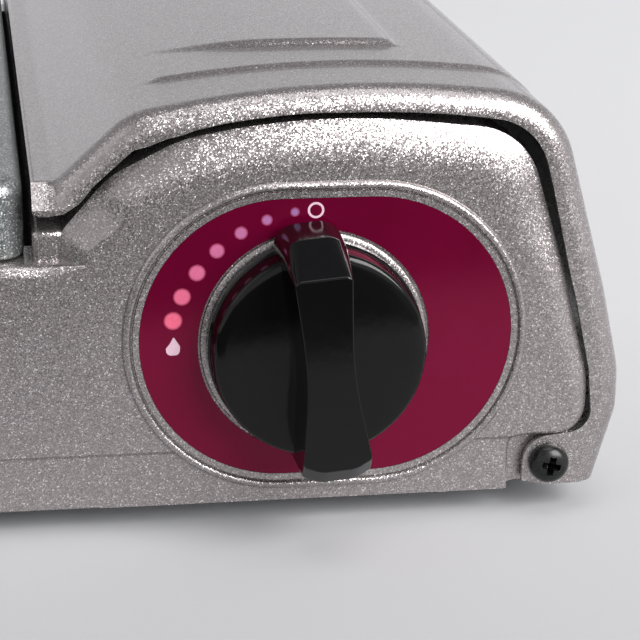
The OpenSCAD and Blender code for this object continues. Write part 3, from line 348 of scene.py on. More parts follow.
def makeFlakePaint(name, spec):
    material, nodes, links, shader = nodeChain(name)
    coords = nodes.new("ShaderNodeTexCoord")
    flakes = nodes.new("ShaderNodeTexVoronoi")
    flakes.inputs["Scale"].default_value = 1 / (spec["flakeSize"] * mm)
    links.new(coords.outputs["Object"], flakes.inputs["Vector"])
    split = nodes.new("ShaderNodeSeparateColor")
    links.new(flakes.outputs["Color"], split.inputs["Color"])
    ramp = rampFrom(nodes, links, split.outputs["Red"], spec["tones"])
    links.new(ramp.outputs["Color"], shader.inputs["Base Color"])

    # each flake tilts its own way
    centred = vectorMath(nodes, links, "SUBTRACT", flakes.outputs["Color"])
    centred.inputs[1].default_value = (0.5, 0.5, 0.5)
    scaled = vectorMath(nodes, links, "SCALE", centred.outputs["Vector"])
    scaled.inputs["Scale"].default_value = spec["flakeTilt"]
    surface = nodes.new("ShaderNodeNewGeometry")
    tilted = vectorMath(nodes, links, "ADD", surface.outputs["Normal"])
    links.new(scaled.outputs["Vector"], tilted.inputs[1])
    unit = vectorMath(nodes, links, "NORMALIZE", tilted.outputs["Vector"])
    peel = objectNoise(nodes, links, coords, spec["peelSize"], detail=2)
    bump = bumpFrom(nodes, links, peel.outputs["Fac"], spec["peel"], spec["peelDepth"])
    links.new(unit.outputs["Vector"], bump.inputs["Normal"])
    links.new(bump.outputs["Normal"], shader.inputs["Normal"])
    rough = rangeFrom(nodes, links, split.outputs["Green"], (0, 1), spec["rough"])
    links.new(rough, shader.inputs["Roughness"])
    shader.inputs["Metallic"].default_value = spec["metallic"]
    shader.inputs["Coat Weight"].default_value = spec["coat"]
    shader.inputs["Coat Roughness"].default_value = spec["coatRough"]
    return material


def makeFinish(name, spec):
    material, nodes, links, shader = nodeChain(name)
    coords = nodes.new("ShaderNodeTexCoord")
    patch = objectNoise(nodes, links, coords, spec["patch"], detail=5)
    stops = list(zip(noiseSpan, (spec["dark"], spec["light"])))
    ramp = rampFrom(nodes, links, patch.outputs["Fac"], stops)
    links.new(ramp.outputs["Color"], shader.inputs["Base Color"])
    if "tone" in spec:  # printed colours are kept with the mesh
        tone = nodes.new("ShaderNodeAttribute")
        tone.attribute_name = spec["tone"]
        blend = nodes.new("ShaderNodeMix")
        blend.data_type = "RGBA"
        blend.blend_type = "MULTIPLY"
        blend.inputs["Factor"].default_value = 1
        links.new(tone.outputs["Color"], blend.inputs["A"])
        links.new(ramp.outputs["Color"], blend.inputs["B"])
        links.new(blend.outputs["Result"], shader.inputs["Base Color"])
    grain = objectNoise(nodes, links, coords, spec["grain"], detail=3)
    rough = rangeFrom(nodes, links, grain.outputs["Fac"], noiseSpan, spec["rough"])
    links.new(rough, shader.inputs["Roughness"])
    bump = bumpFrom(nodes, links, grain.outputs["Fac"], spec["bump"], spec["grain"] * grainDepth)
    links.new(bump.outputs["Normal"], shader.inputs["Normal"])
    shader.inputs["Metallic"].default_value = spec.get("metallic", 0)
    shader.inputs["Coat Weight"].default_value = spec.get("coat", 0)
    shader.inputs["Coat Roughness"].default_value = spec.get("coatRough", 0.05)
    shader.inputs["Specular IOR Level"].default_value = spec.get("specular", 0.5)
    return material


flakePaints = {
    "champagne_paint": {
        "flakeSize": 0.2,
        "flakeTilt": 0.3,
        "tones": [(0.0, (0.255, 0.228, 0.226)), (0.6, (0.325, 0.296, 0.293)),
                  (0.92, (0.39, 0.36, 0.358)), (1.0, (0.72, 0.7, 0.7))],
        "peelSize": 2.2,
        "peelDepth": 0.1,
        "peel": 0.045,
        "rough": (0.2, 0.36),
        "metallic": 0.85,
        "coat": 0.5,
        "coatRough": 0.08,
    },
    "tray_coat": {
        "flakeSize": 0.22,
        "flakeTilt": 0.34,
        "tones": [(0.0, (0.1, 0.106, 0.106)), (0.6, (0.16, 0.168, 0.167)),
                  (0.9, (0.28, 0.29, 0.288)), (1.0, (0.8, 0.82, 0.81))],
        "peelSize": 1.6,
        "peelDepth": 0.1,
        "peel": 0.054,
        "rough": (0.3, 0.45),
        "metallic": 0.7,
        "coat": 0.2,
        "coatRough": 0.15,
    },
}
plainFinishes = {
    "trivet_enamel": {"light": (0.022, 0.022, 0.024), "dark": (0.012, 0.012, 0.013), "patch": 9,
                      "grain": 0.8, "rough": (0.18, 0.34), "bump": 0.12, "coat": 0.5},
    "zinc_sheet": {"light": (0.62, 0.64, 0.66), "dark": (0.46, 0.48, 0.5), "patch": 7,
                   "grain": 0.5, "rough": (0.28, 0.44), "bump": 0.06, "metallic": 1},
    "steel_screw": {"light": (0.6, 0.6, 0.6), "dark": (0.45, 0.45, 0.46), "patch": 2,
                    "grain": 0.2, "rough": (0.22, 0.38), "bump": 0.08, "metallic": 1},
    "black_screw": {"light": (0.008, 0.009, 0.008), "dark": (0.004, 0.004, 0.004), "patch": 1.2,
                    "grain": 0.25, "rough": (0.2, 0.34), "bump": 0.1, "specular": 0.35},
    "rubber": {"light": (0.035, 0.035, 0.036), "dark": (0.02, 0.02, 0.02), "patch": 4,
               "grain": 0.3, "rough": (0.6, 0.85), "bump": 0.25},
    "bowl_casting": {"light": (0.42, 0.42, 0.42), "dark": (0.28, 0.28, 0.285), "patch": 5,
                     "grain": 0.45, "rough": (0.42, 0.62), "bump": 0.4, "metallic": 0.9},
    "cap_brass": {"light": (0.55, 0.38, 0.16), "dark": (0.36, 0.23, 0.09), "patch": 8,
                  "grain": 0.3, "rough": (0.28, 0.45), "bump": 0.12, "metallic": 1},
    "governor_casting": {"light": (0.5, 0.5, 0.5), "dark": (0.36, 0.36, 0.37), "patch": 4,
                         "grain": 0.4, "rough": (0.4, 0.58), "bump": 0.3, "metallic": 0.9},
    "brass": {"light": (0.68, 0.5, 0.22), "dark": (0.5, 0.35, 0.13), "patch": 3,
              "grain": 0.2, "rough": (0.2, 0.34), "bump": 0.05, "metallic": 1},
    "magnet": {"light": (0.09, 0.09, 0.095), "dark": (0.055, 0.055, 0.06), "patch": 3,
               "grain": 0.35, "rough": (0.5, 0.7), "bump": 0.25, "metallic": 0.3},
    "knob_plastic": {"light": (0.0026, 0.0026, 0.0028), "dark": (0.0018, 0.0018, 0.002),
                     "patch": 12, "grain": 1.6, "rough": (0.08, 0.13), "bump": 0.02,
                     "specular": 0.28},
    "label_maroon": {"light": (0.165, 0.001, 0.029), "dark": (0.145, 0.001, 0.025), "patch": 14,
                     "grain": 0.5, "rough": (0.1, 0.15), "bump": 0.02, "specular": 0.34,
                     "metallic": 0.5},
    "label_print": {"light": (1, 1, 1), "dark": (0.93, 0.93, 0.93), "patch": 2,
                    "grain": 0.3, "rough": (0.2, 0.3), "bump": 0.04, "tone": "tone"},
    "cam_plastic": {"light": (0.72, 0.68, 0.58), "dark": (0.62, 0.58, 0.48), "patch": 6,
                    "grain": 0.6, "rough": (0.35, 0.5), "bump": 0.08},
    "piezo_plastic": {"light": (0.75, 0.75, 0.72), "dark": (0.66, 0.66, 0.62), "patch": 6,
                      "grain": 0.5, "rough": (0.3, 0.45), "bump": 0.06},
    "plunger_plastic": {"light": (0.5, 0.02, 0.018), "dark": (0.4, 0.014, 0.012), "patch": 5,
                        "grain": 0.4, "rough": (0.3, 0.42), "bump": 0.06},
    "lead_sleeve": {"light": (0.36, 0.03, 0.024), "dark": (0.26, 0.02, 0.016), "patch": 5,
                    "grain": 0.35, "rough": (0.4, 0.55), "bump": 0.12},
    "ceramic": {"light": (0.82, 0.8, 0.75), "dark": (0.74, 0.71, 0.65), "patch": 3,
                "grain": 0.3, "rough": (0.2, 0.36), "bump": 0.08, "coat": 0.4},
    "nylon": {"light": (0.72, 0.71, 0.66), "dark": (0.62, 0.61, 0.56), "patch": 3,
              "grain": 0.35, "rough": (0.35, 0.5), "bump": 0.06},
}
finishes = {name: makeFlakePaint(name, spec) for name, spec in flakePaints.items()}
for finishName, finishSpec in plainFinishes.items():
    finishes[finishName] = makeFinish(finishName, finishSpec)
print("finishes made:", len(finishes))

# Container cover: rolled rims at both ends and two stepped arcs on top

cover = {
    "outline": [(62.9, 64.5, 0), (66.6, 64.5, 1.5), (79.6, 76.5, 14), (115, 82.5, 180),
                (155.4, 78, 16), (165.2, 42, 60), (168.5, 27, 20), (168.5, 19.5, 9),
                (163.6, 2.2, 0)],
    "spacing": 1.2,
    # depths of the section's rows from each end
    "rows": {"rim": (8, 12.5), "fine": 16.5, "fineGap": 0.5, "fineCount": 74, "coarseCount": 5},
    "rim": 4,
    "rimSteps": 8,
    # width of the lip, by the share of the outline
    "lip": [(0, 4.4), (0.006, 5.1), (0.03, 5.1), (0.05, 4.6), (0.1, 4.7), (0.13, 5.5),
            (0.167, 4.9), (0.19, 4.4), (0.22, 4.15), (0.29, 4.1), (0.35, 4.4), (0.45, 4.5),
            (0.62, 5.4), (0.75, 6), (1, 6)],
    "facet": (66.2, 1.4),  # where the foot's slanted end stops, and over what length
    "earTop": 29.5,
    "ear": [(162.35, 29.5, 0), (163.2, 16.2, 4.2), (150.7, 14.8, 5), (150.4, 2.5, 0)],
    "earHole": 2.2,
    # planes that end the ears, each a place and its way out
    "earEnd": [((158, 5.75), (0.02, -1)), ((154.5, 5.75), (-0.22, -0.975))],
    "arc": (124.9, 62),  # middle and half length of the curve that both steps follow
    "steps": [{"start": 17.6, "depth": 1.9, "height": 0.7, "bow": 9,
               "left": (83.5, 4), "right": (160, 18)},
              {"start": 31.5, "depth": 2.6, "height": 1.2, "bow": 30,
               "left": (83, 24), "right": (132, 2.4)}],
    "wall": 1,
    "foot": {"left": 62.95, "width": 4.4, "low": 59.4, "high": 64.6, "gap": 0.2},
}


def stepAt(step, x, y):  # left and right are each an end and the length of its fade
    fromEnd = min(y - stove["front"], stove["back"] - y)
    middle, half = cover["arc"]
    along = fromEnd - step["bow"] * ((x - middle) / half) ** 2
    left, leftFade = step["left"]
    right, rightFade = step["right"]
    fade = ease((x - left) / leftFade) * ease((right - x) / rightFade)
    return step["height"] * ease((along - step["start"]) / step["depth"]) * fade


def makeCover():
    path = spread(roundedPath(cover["outline"]), cover["spacing"])
    rim = cover["rim"]
    spec = cover["rows"]
    fine = [stove["front"] + spec["fine"] + spec["fineGap"] * k for k in range(spec["fineCount"])]
    coarse = [fine[-1] + (middleY - fine[-1]) * k / spec["coarseCount"]
              for k in range(1, spec["coarseCount"] + 1)]
    front = [stove["front"] + d for d in spec["rim"]] + fine + coarse
    depths = front + [2 * middleY - y for y in reversed(front[:-1])]
    rings = []
    for i, point in enumerate(path):
        side = sideOf(path, i)
        lip = alongTable(i / (len(path) - 1), cover["lip"])
        section = [(lip, stove["front"]), ((lip + rim) / 2, stove["front"])]
        bent = ease((point.x - cover["facet"][0]) / cover["facet"][1])
        for k in range(cover["rimSteps"] + 1):
            share = k / cover["rimSteps"]
            turn = math.pi / 2 * (1 - share)
            arc = Vector((1 - math.cos(turn), 1 - math.sin(turn)))
            place = Vector((1 - share, share)).lerp(arc, bent) * rim
            section.append((place.x, stove["front"] + place.y))
        ends = [(inward, 2 * middleY - y) for inward, y in reversed(section)]
        section += [(-sum(stepAt(step, point.x, y) for step in cover["steps"]), y) for y in depths]
        section += ends
        rings.append([(point.x + side.x * s, y, point.y + side.y * s) for s, y in section])
    bm = bmesh.new()
    rows = loft(bm, rings)

    # the lips run on into the hinge ears
    first = next(i for i, p in enumerate(path) if p.y < cover["earTop"])
    gone = [row[c] for row in rows[first + 1:] for c in (0, 1, -1, -2)]
    bmesh.ops.delete(bm, geom=gone, context="VERTS")
    inner = roundedPath(cover["ear"], steps=10)[1:]
    for y, columns in ((stove["front"], (0, 1, 2)), (stove["back"], (-1, -2, -3))):
        lip = [rows[first][c] for c in columns] + [row[columns[2]] for row in rows[first + 1:]]
        edges = edgesAlong(bm, lip)
        fresh, drawn = addLoop(bm, [(p.x, y, p.y) for p in inner], closed=False)
        edges += drawn + [bm.edges.new((lip[0], fresh[0])), bm.edges.new((lip[-1], fresh[-1]))]
        edges += addLoop(bm, ringAt(hinge, cover["earHole"], y, 48))[1]
        bmesh.ops.triangle_fill(bm, use_beauty=True, edges=edges)
    for (x, z), (nx, nz) in cover["earEnd"]:
        cutAt(bm, (x, 0, z), (nx, 0, nz), clear_outer=True)
    pieceFrom(bm, "cover_panel", "champagne_paint", "cover", ["container_cover"],
              wall=cover["wall"], outside=(120, 0, 120), angle=40, flats=True)

    # foot along the left edge, over the ridge
    foot = cover["foot"]
    bm = bmesh.new()
    prism(bm, rectangle(foot["left"], foot["left"] + foot["width"], foot["low"], foot["high"]),
          stove["front"] + rim + foot["gap"], stove["back"] - rim - foot["gap"])
    pieceFrom(bm, "cover_foot", "champagne_paint", "cover", bevel=0.6, bevelSteps=3)


makeCover()
print("container cover made")

# Body: bay ends with curved border, tub walls, ridge and flanges

bay = {
    "outline": [(67.3, 50.3, 0), (67.3, 55.3, 6), (76.3, 65.6, 14), (88.6, 71.8, 26),
                (112, 76.1, 120), (149.4, 72, 13), (157.2, 46, 60), (162.1, 26, 20),
                (161.9, 15.7, 5.5), (stove["recess"], stove["band"], 2.3),
                (stove["recess"], stove["base"], 0)],
    "recessEnd": 6.1,
    "recessTop": 16.2,
    "recessRound": 2,
    "recessLap": 0.5,
    "spindleHole": 5.2,
    "screwHole": 2.2,
    "spacing": 1.1,
    # width, depth and curve of the border, by the share of the outline
    "border": [(0, 4.6), (0.04, 5.4), (0.075, 6.4), (0.14, 7.8), (0.22, 8.6), (0.5, 9),
               (0.62, 8.2), (0.69, 5.6), (0.78, 4.6), (0.84, 3), (0.88, 0.8), (1, 0.7)],
    "depth": [(0, 3), (0.06, 3), (0.16, 2.4), (0.3, 2.1), (0.6, 2), (0.72, 1.4), (0.84, 0.8),
              (0.88, 0.25), (1, 0.25)],
    "curve": [(0, 1), (0.075, 1), (0.11, 2.2), (1, 2.2)],  # 1 is a plain slant
    "borderSteps": 10,
    "flange": 12,
    "faceDepth": 2,  # what lies nearer than this belongs to the front face
}


def bandShift(z):  # the band along the bottom lies a little further back
    return stove["bandStep"] * ease((stove["band"] - z) / stove["bandSlope"])


def bayEnd(holes):
    path = spread(roundedPath(bay["outline"]), bay["spacing"])
    rings = []
    for i, point in enumerate(path):
        side = sideOf(path, i)
        width = alongTable(i / (len(path) - 1), bay["border"])
        depth = alongTable(i / (len(path) - 1), bay["depth"])
        section = [(0, bay["flange"])]
        curve = alongTable(i / (len(path) - 1), bay["curve"])
        for k in range(bay["borderSteps"] + 1):
            share = k / bay["borderSteps"]
            section.append((width * share, depth * (1 - share) ** curve))
        rings.append([(point.x + side.x * s, stove["front"] + y, point.y + side.y * s)
                      for s, y in section])
    bm = bmesh.new()
    rows = loft(bm, rings)
    inner = [row[-1] for row in rows]
    y = stove["front"]
    corners = [bm.verts.new(p) for p in [(inner[-1].co.x, y, stove["base"]),
                                         (stove["seam"], y, stove["base"]),
                                         (stove["seam"], y, inner[0].co.z)]]
    edges = edgesAlong(bm, inner)
    around = [inner[-1]] + corners + [inner[0]]
    edges += [bm.edges.get(pair) or bm.edges.new(pair) for pair in zip(around, around[1:])]
    for centre, radius in holes:
        edges += addLoop(bm, ringAt(centre, radius, y, 48))[1]
    bmesh.ops.triangle_fill(bm, use_beauty=True, edges=[e for e in edges if e.is_valid])
    for share in (0, 0.5, 1):
        cutAt(bm, (0, 0, stove["band"] - share * stove["bandSlope"]), (0, 0, 1), dist=0.001)
    for vert in bm.verts:
        if vert.co.y < stove["front"] + bay["faceDepth"]:
            vert.co.y += bandShift(vert.co.z)
    return bm


def makeBay():
    bm = bayEnd([(knobAxis, bay["spindleHole"])])
    pieceFrom(bm, "bay_front", "champagne_paint", "housing", ["body_shell"], wall=stove["sheet"],
              outside=(100, -200, 30), angle=20, flats=True)
    bm = bayEnd([])
    for vert in bm.verts:
        vert.co = backOf(vert.co)
    pieceFrom(bm, "bay_back", "champagne_paint", "housing", wall=stove["sheet"],
              outside=(100, 220, 30), angle=20, flats=True)

    # floors of the hinge recesses
    bm = bmesh.new()
    left, top = stove["recess"] - bay["recessLap"], bay["recessTop"]
    outline = roundedPath([(left, bay["recessEnd"]), (left, top, bay["recessRound"]),
                           (stove["wall"], top), (stove["wall"], bay["recessEnd"])], steps=8)
    y = stove["front"] + stove["recessDepth"]
    outer = addLoop(bm, [(x, y, z) for x, z in outline])[1]
    inner = addLoop(bm, ringAt(hinge, bay["screwHole"], y, 32))[1]
    bmesh.ops.triangle_fill(bm, use_beauty=True, edges=outer + inner)
    bothEnds(bm)
    pieceFrom(bm, "hinge_recess", "champagne_paint", "housing", wall=stove["sheet"],
              outside=(155, -200, 14))


tub = {
    "corner": 22,
    "spacing": 1.5,
    "roll": 2.2,
    "seamRoll": 0.35,  # the top edge is tighter where it meets the bay
    "seamFade": 9,
    "rollSteps": 6,
    "ledge": 13,
    "flange": 9,
    "hem": 0.3,
    "rows": (22, 36),  # heights below and above the vents that get a row of their own
    "sideReach": -160,  # faces past this are cut for the side vents
    "backReach": 130,
    "near": 0.1,  # a vent's faces lie this close to the wall's outer face
    "sideVents": {"count": 7, "gap": 26, "length": 16},
    "backVents": {"count": 4, "gap": 36, "length": 26},
    "ventLow": 23,
    "ventHeight": 3.2,
    "wall": 1,
}


def ventSpans(spec, middle):
    half = spec["length"] / 2
    centres = [middle + (i - (spec["count"] - 1) / 2) * spec["gap"] for i in range(spec["count"])]
    return [(centre - half, centre + half) for centre in centres]


def makeTub():
    front, back, seam = stove["front"], stove["back"], stove["seam"]
    corners = [(seam, front), (stove["left"], front, tub["corner"]),
               (stove["left"], back, tub["corner"]), (seam, back)]
    plan = spread(roundedPath(corners, steps=20), tub["spacing"])
    base, band, step, hem = stove["base"], stove["band"], stove["bandStep"], tub["hem"]
    slope = stove["bandSlope"]
    ventLow, ventTop = tub["ventLow"], tub["ventLow"] + tub["ventHeight"]
    low, high = tub["rows"]
    upright = [(tub["flange"], base), (step + hem, base), (step, base + hem), (step, band - slope),
               (step / 2, band - slope / 2), (0, band), (0, low), (0, ventLow), (0, ventTop),
               (0, high)]
    rings = []
    for i, point in enumerate(plan):
        side = sideOf(plan, i)
        share = ease((seam - point.x) / tub["seamFade"])
        roll = tub["seamRoll"] + (tub["roll"] - tub["seamRoll"]) * share
        section = upright + quarterRound(roll, stove["shoulder"], tub["rollSteps"])
        section.append((tub["ledge"], stove["shoulder"]))
        rings.append([(point.x + side.x * s, point.y + side.y * s, z) for s, z in section])
    bm = bmesh.new()
    loft(bm, rings)

    # vents: rows of slots in the left and back walls
    leftSpans = ventSpans(tub["sideVents"], middleY)
    backSpans = ventSpans(tub["backVents"], burner.x)
    for spans, normal in ((leftSpans, (0, 1, 0)), (backSpans, (1, 0, 0))):
        for place in [p for span in spans for p in span]:
            if spans is leftSpans:
                wall = [f for f in bm.faces if f.calc_center_median().x < tub["sideReach"]]
            else:
                wall = [f for f in bm.faces if f.calc_center_median().y > tub["backReach"]]
            geom = list({v for f in wall for v in f.verts} | {e for f in wall for e in f.edges})
            bmesh.ops.bisect_plane(bm, geom=geom + wall, plane_co=Vector(normal) * place,
                                   plane_no=normal, dist=0.01)
    gone = []
    for face in bm.faces:
        c = face.calc_center_median()
        if not ventLow < c.z < ventTop:
            continue
        if c.x < stove["left"] + tub["near"] and any(a < c.y < b for a, b in leftSpans):
            gone.append(face)
        if c.y > back - tub["near"] and any(a < c.x < b for a, b in backSpans):
            gone.append(face)
    bmesh.ops.delete(bm, geom=gone, context="FACES")
    pieceFrom(bm, "tub_walls", "champagne_paint", "housing", wall=tub["wall"],
              outside=(-50, -200, 30), angle=40, flats=True)


# Ridge beside the bay, and the shoulder under the tray's right side

ridge = {
    "left": 62.8,
    "right": 68.7,
    "low": 46.8,
    "top": 56.1,
    "setBack": 3,
    "channel": {"reach": 13, "left": 1.8, "right": 0.9, "sheet": 0.9, "low": 43, "lip": 46.9,
                "top": 50.55, "setBack": 9},
}


def makeRidge():
    bm = bmesh.new()
    prism(bm, rectangle(ridge["left"], ridge["right"], ridge["low"], ridge["top"]),
          stove["front"] + ridge["setBack"], stove["back"] - ridge["setBack"])
    pieceFrom(bm, "bay_ridge", "champagne_paint", "housing", bevel=1, bevelSteps=3)
    channel = ridge["channel"]
    end, sheet = ridge["left"] - channel["reach"], channel["sheet"]
    left, right = ridge["left"] - channel["left"], ridge["left"] + channel["right"]
    low, lip, top = channel["low"], channel["lip"], channel["top"]
    bm = bmesh.new()
    prism(bm, [(end, top - sheet), (left - sheet, top - sheet), (left - sheet, low), (right, low),
               (right, lip), (right - sheet, lip), (right - sheet, low + sheet),
               (left, low + sheet), (left, top), (end, top)],
          stove["front"] + channel["setBack"], stove["back"] - channel["setBack"])
    pieceFrom(bm, "tray_shoulder", "champagne_paint", "housing", bevel=0.15)


# Low wall on the right inside the cover, and the flanges under the bay ends

lowWall = {
    "section": [(-9, 5.05), (-0.6, 5.05), (-0.1, 5.5), (0, 16.1)],  # X from the wall's face
    "setBack": 9,
    "sheet": 0.9,
    "flange": {"left": 70, "low": 5.05, "high": 5.95, "near": 1.2, "far": 8.5},
}


def makeLowWall():
    ends = stove["front"] + lowWall["setBack"], stove["back"] - lowWall["setBack"]
    bm = bmesh.new()
    loft(bm, [[(stove["wall"] + x, y, z) for x, z in lowWall["section"]] for y in ends])
    pieceFrom(bm, "right_wall", "champagne_paint", "housing", wall=lowWall["sheet"],
              outside=(220, 0, 12))
    flange = lowWall["flange"]
    bm = bmesh.new()
    prism(bm, rectangle(flange["left"], stove["recess"], flange["low"], flange["high"]),
          stove["front"] + flange["near"], stove["front"] + flange["far"])
    bothEnds(bm)
    pieceFrom(bm, "bottom_flanges", "champagne_paint", "housing", bevel=0.1)


makeBay()
makeTub()
makeRidge()
makeLowWall()
print("body made")

# Bead round the label, seat of the knob, label plate with its dots

label = {
    "centre": (114, 36),
    "radius": 25.5,
    "half": 7.8,
    "gap": 0.05,
    "hole": 20.65,
    "thickness": 0.4,
    "lift": 0.02,  # the plate's back stays clear of the panel
    # distance outward and height; the seat's are radius and height
    "bead": [(0, 0.0), (0.02, 0.42), (1.1, 0.46), (1.24, 0.12), (1.36, 0.12), (1.46, 0.46),
             (1.62, 0.7), (1.95, 0.84), (2.3, 0.82), (2.62, 0.66), (2.86, 0.36), (2.96, 0.05)],
    "seat": [(5.3, 0.7), (19.2, 0.7), (19.8, 0.66), (20.15, 0.45), (20.3, 0.0)],
    # place and diameter
    "dots": [((108.09, 59.08), 1.72), ((103.2, 57.79), 2.07), ((98.68, 55.6), 2.44),
             ((94.49, 52.5), 2.8), ((90.99, 48.64), 3.06), ((88.35, 44.37), 3.19),
             ((86.74, 40.04), 3.36)],
    "soft": 0.22,
    "print": 0.02,
    "lilac": (0.25, 0.12, 0.28),
    "coral": (0.66, 0.11, 0.19),
    "pale": (0.62, 0.42, 0.5),
    "offMark": {"centre": (111.77, 59.32), "radius": 1.25, "line": 0.2},
    "fireMark": {"centre": (86.7, 35.2), "outline": [
        (0.1, 1.9, 0.15), (1.25, 0.1, 0.8), (1.1, -1.5, 0.85), (-1.1, -1.5, 0.85),
        (-1.3, -0.2, 0.6), (-0.6, 0.6, 0.2)]},
}


def stadium(radius, half, steps=40):
    cx, cz = label["centre"]
    right = [(cx + half + radius * math.cos(a), cz + radius * math.sin(a))
             for a in [math.pi * (0.5 - k / steps) for k in range(steps + 1)]]
    left = [(2 * cx - x, 2 * cz - z) for x, z in right]
    return right + left


def makeLabel():
    bm = bmesh.new()
    rings = [[(x, stove["front"] - h, z) for x, z in stadium(label["radius"] + r, label["half"])]
             for r, h in label["bead"]]
    loft(bm, rings, closed=True)
    pieceFrom(bm, "label_bead", "champagne_paint", "housing", outside=(114, -200, 63), angle=50)

    bm = bmesh.new()
    spun(bm, label["seat"], (knobAxis.x, stove["front"], knobAxis.y), steps=128)
    pieceFrom(bm, "knob_seat", "champagne_paint", "housing", outside=(111.7, -200, 54), angle=50)

    bm = bmesh.new()
    y = stove["front"] - label["thickness"]
    outline = stadium(label["radius"] - label["gap"], label["half"])
    outer = addLoop(bm, [(x, y, z) for x, z in outline])[1]
    inner = addLoop(bm, ringAt(knobAxis, label["hole"], y, 128))[1]
    made = bmesh.ops.triangle_fill(bm, use_beauty=True, edges=outer + inner)["geom"]
    thicken(bm, only(made, bmesh.types.BMFace), label["thickness"] - label["lift"])
    pieceFrom(bm, "label", "label_maroon", "housing", ["label_plate"])


def makeMarks():
    base = stove["front"] - label["thickness"]
    high, soft = label["print"], label["soft"]
    ground = Vector(plainFinishes["label_maroon"]["light"])
    bm = bmesh.new()
    tone = bm.verts.layers.float_color.new("tone")
    done = 0
    for i, ((x, z), size) in enumerate(label["dots"]):
        radius = size / 2
        spun(bm, [(0, high), (radius - 2 * soft, high), (radius, high), (radius + high, 0)],
             (x, base, z), steps=40)
        colour = Vector(label["lilac"]).lerp(Vector(label["coral"]), i / (len(label["dots"]) - 1))
        bm.verts.ensure_lookup_table()
        for vert in bm.verts[done:]:
            away = (Vector((vert.co.x, vert.co.z)) - Vector((x, z))).length
            share = ease((radius - away) / (2 * soft))
            vert[tone] = (*ground.lerp(colour, share), 1)
        done = len(bm.verts)
    off, fire = label["offMark"], label["fireMark"]
    x, z = off["centre"]
    inner, outer = off["radius"] - off["line"], off["radius"] + off["line"]
    spun(bm, [(inner, 0), (inner, high), (outer, high), (outer, 0)], (x, base, z), steps=48)
    x, z = fire["centre"]
    flame = roundedPath(fire["outline"], steps=8, closed=True)
    prism(bm, [(x + p.x, z + p.y) for p in flame], base - high, base)
    bm.verts.ensure_lookup_table()
    for vert in bm.verts[done:]:
        vert[tone] = (*label["pale"], 1)
    pieceFrom(bm, "label_marks", "label_print", "housing", weld=0.0005)


makeLabel()
makeMarks()
print("label made")

# Knob: stepped disc and waisted grip

knob = {
    "disc": [(4, 0), (19.2, 0), (19.2, 2.0), (18.75, 2.35), (18.7, 2.6), (18.7, 6.6),
             (18.45, 7.25), (17.9, 7.55), (16.5, 7.65), (10, 7.85), (0, 7.95)],
    "lift": 1,
    "tilt": math.radians(5),
    "waistRound": 70,
    "tip": {"rise": 1.5, "corner": 0.9, "round": 5},
    # out, above, below, top, waist, bottom and corner, as gripRing takes them
    "sections": [(2.4, 22.6, 20.6, 6.5, 4.5, 6.4, 4.2), (12.4, 22.5, 20.3, 5.9, 4.1, 6.2, 3.6),
                 (17.2, 19.6, 19.9, 5.35, 3.95, 6.1, 2.2), (20.5, 17.6, 16.7, 4.95, 3.8, 6.0, 1.0)],
}


def gripRing(out, above, below, top, waist, bottom, corner):
    tip = knob["tip"]
    half = [(top, above, corner), (waist, 0, knob["waistRound"]),
            (bottom, -below + tip["rise"], tip["corner"]), (bottom / 2, -below, tip["round"])]
    path = roundedPath(half + [(-x, z, r) for x, z, r in reversed(half)], steps=8, closed=True)
    turned = [Matrix.Rotation(knob["tilt"], 2) @ p + knobAxis for p in path]
    return [(p.x, stove["front"] - out, p.y) for p in turned]


def makeKnob():
    bm = bmesh.new()
    spun(bm, knob["disc"], (knobAxis.x, stove["front"] - knob["lift"], knobAxis.y), steps=144)
    pieceFrom(bm, "knob_disc", "knob_plastic", "knob", ["control_knob"],
              outside=(111.7, -200, 35.3), angle=50)
    bm = bmesh.new()
    rows = loft(bm, [gripRing(*s) for s in knob["sections"]], closed=True)
    capRow(bm, rows[0])
    capRow(bm, rows[-1])
    pieceFrom(bm, "knob_grip", "knob_plastic", "knob", bevel=0.22, bevelSteps=3, angle=22,
              flats=True)


makeKnob()
print("knob made")

# Cover screws: domed heads with a cross recess, on which the cover turns

screw = {
    "head": 3.65,
    "rise": 2.9,
    "edge": 0.5,
    "round": 2.6,
    "shank": (1.9, 7.5),  # radius and length
    "rings": 34,
    "turn": math.radians(12),
    "wing": (1.75, 0.5),  # reach and half width of the recess's arms
    "depth": 3.8,
    "slope": 0.35,  # share of the depth that is gone at the recess's ends
    "soft": 0.1,
    "under": 0.3,  # what lies further out than this takes the recess
    "gap": 0.05,
}


def crossDepth(u, v):
    reach, half = screw["wing"]
    arms = [ease((half + screw["soft"] - abs(b)) / (2 * screw["soft"]))
            * ease((reach - abs(a)) / (2 * screw["soft"])) for a, b in ((u, v), (v, u))]
    return screw["depth"] * max(arms) * (1 - screw["slope"] * math.hypot(u, v) / reach)


def makeScrews():
    radius, rise, edge = screw["head"], screw["rise"], screw["edge"]
    shank, length = screw["shank"]
    profile = [(0, -length), (shank, -length), (shank, 0), (radius, 0)]
    for k in range(screw["rings"] + 1):
        r = radius * math.cos(math.pi / 2 * k / screw["rings"])
        full = max(0, 1 - (r / radius) ** screw["round"])
        profile.append((r, edge + (rise - edge) * full ** (1 / screw["round"])))
    bm = bmesh.new()
    spun(bm, profile, (0, 0, 0), steps=128)
    for vert in bm.verts:
        if vert.co.y < -screw["under"]:
            spot = Matrix.Rotation(screw["turn"], 2) @ Vector((vert.co.x, vert.co.z))
            vert.co.y += crossDepth(spot.x, spot.y)
    place = (hinge.x, stove["front"] - screw["gap"], hinge.y)
    bmesh.ops.translate(bm, vec=place, verts=bm.verts)
    bothEnds(bm)
    pieceFrom(bm, "hinge_screws", "black_screw", "housing", ["cover_screws"], angle=50)


makeScrews()
print("cover screws made")

# Drip tray: rolled rim, flat deck, round dish with a collar

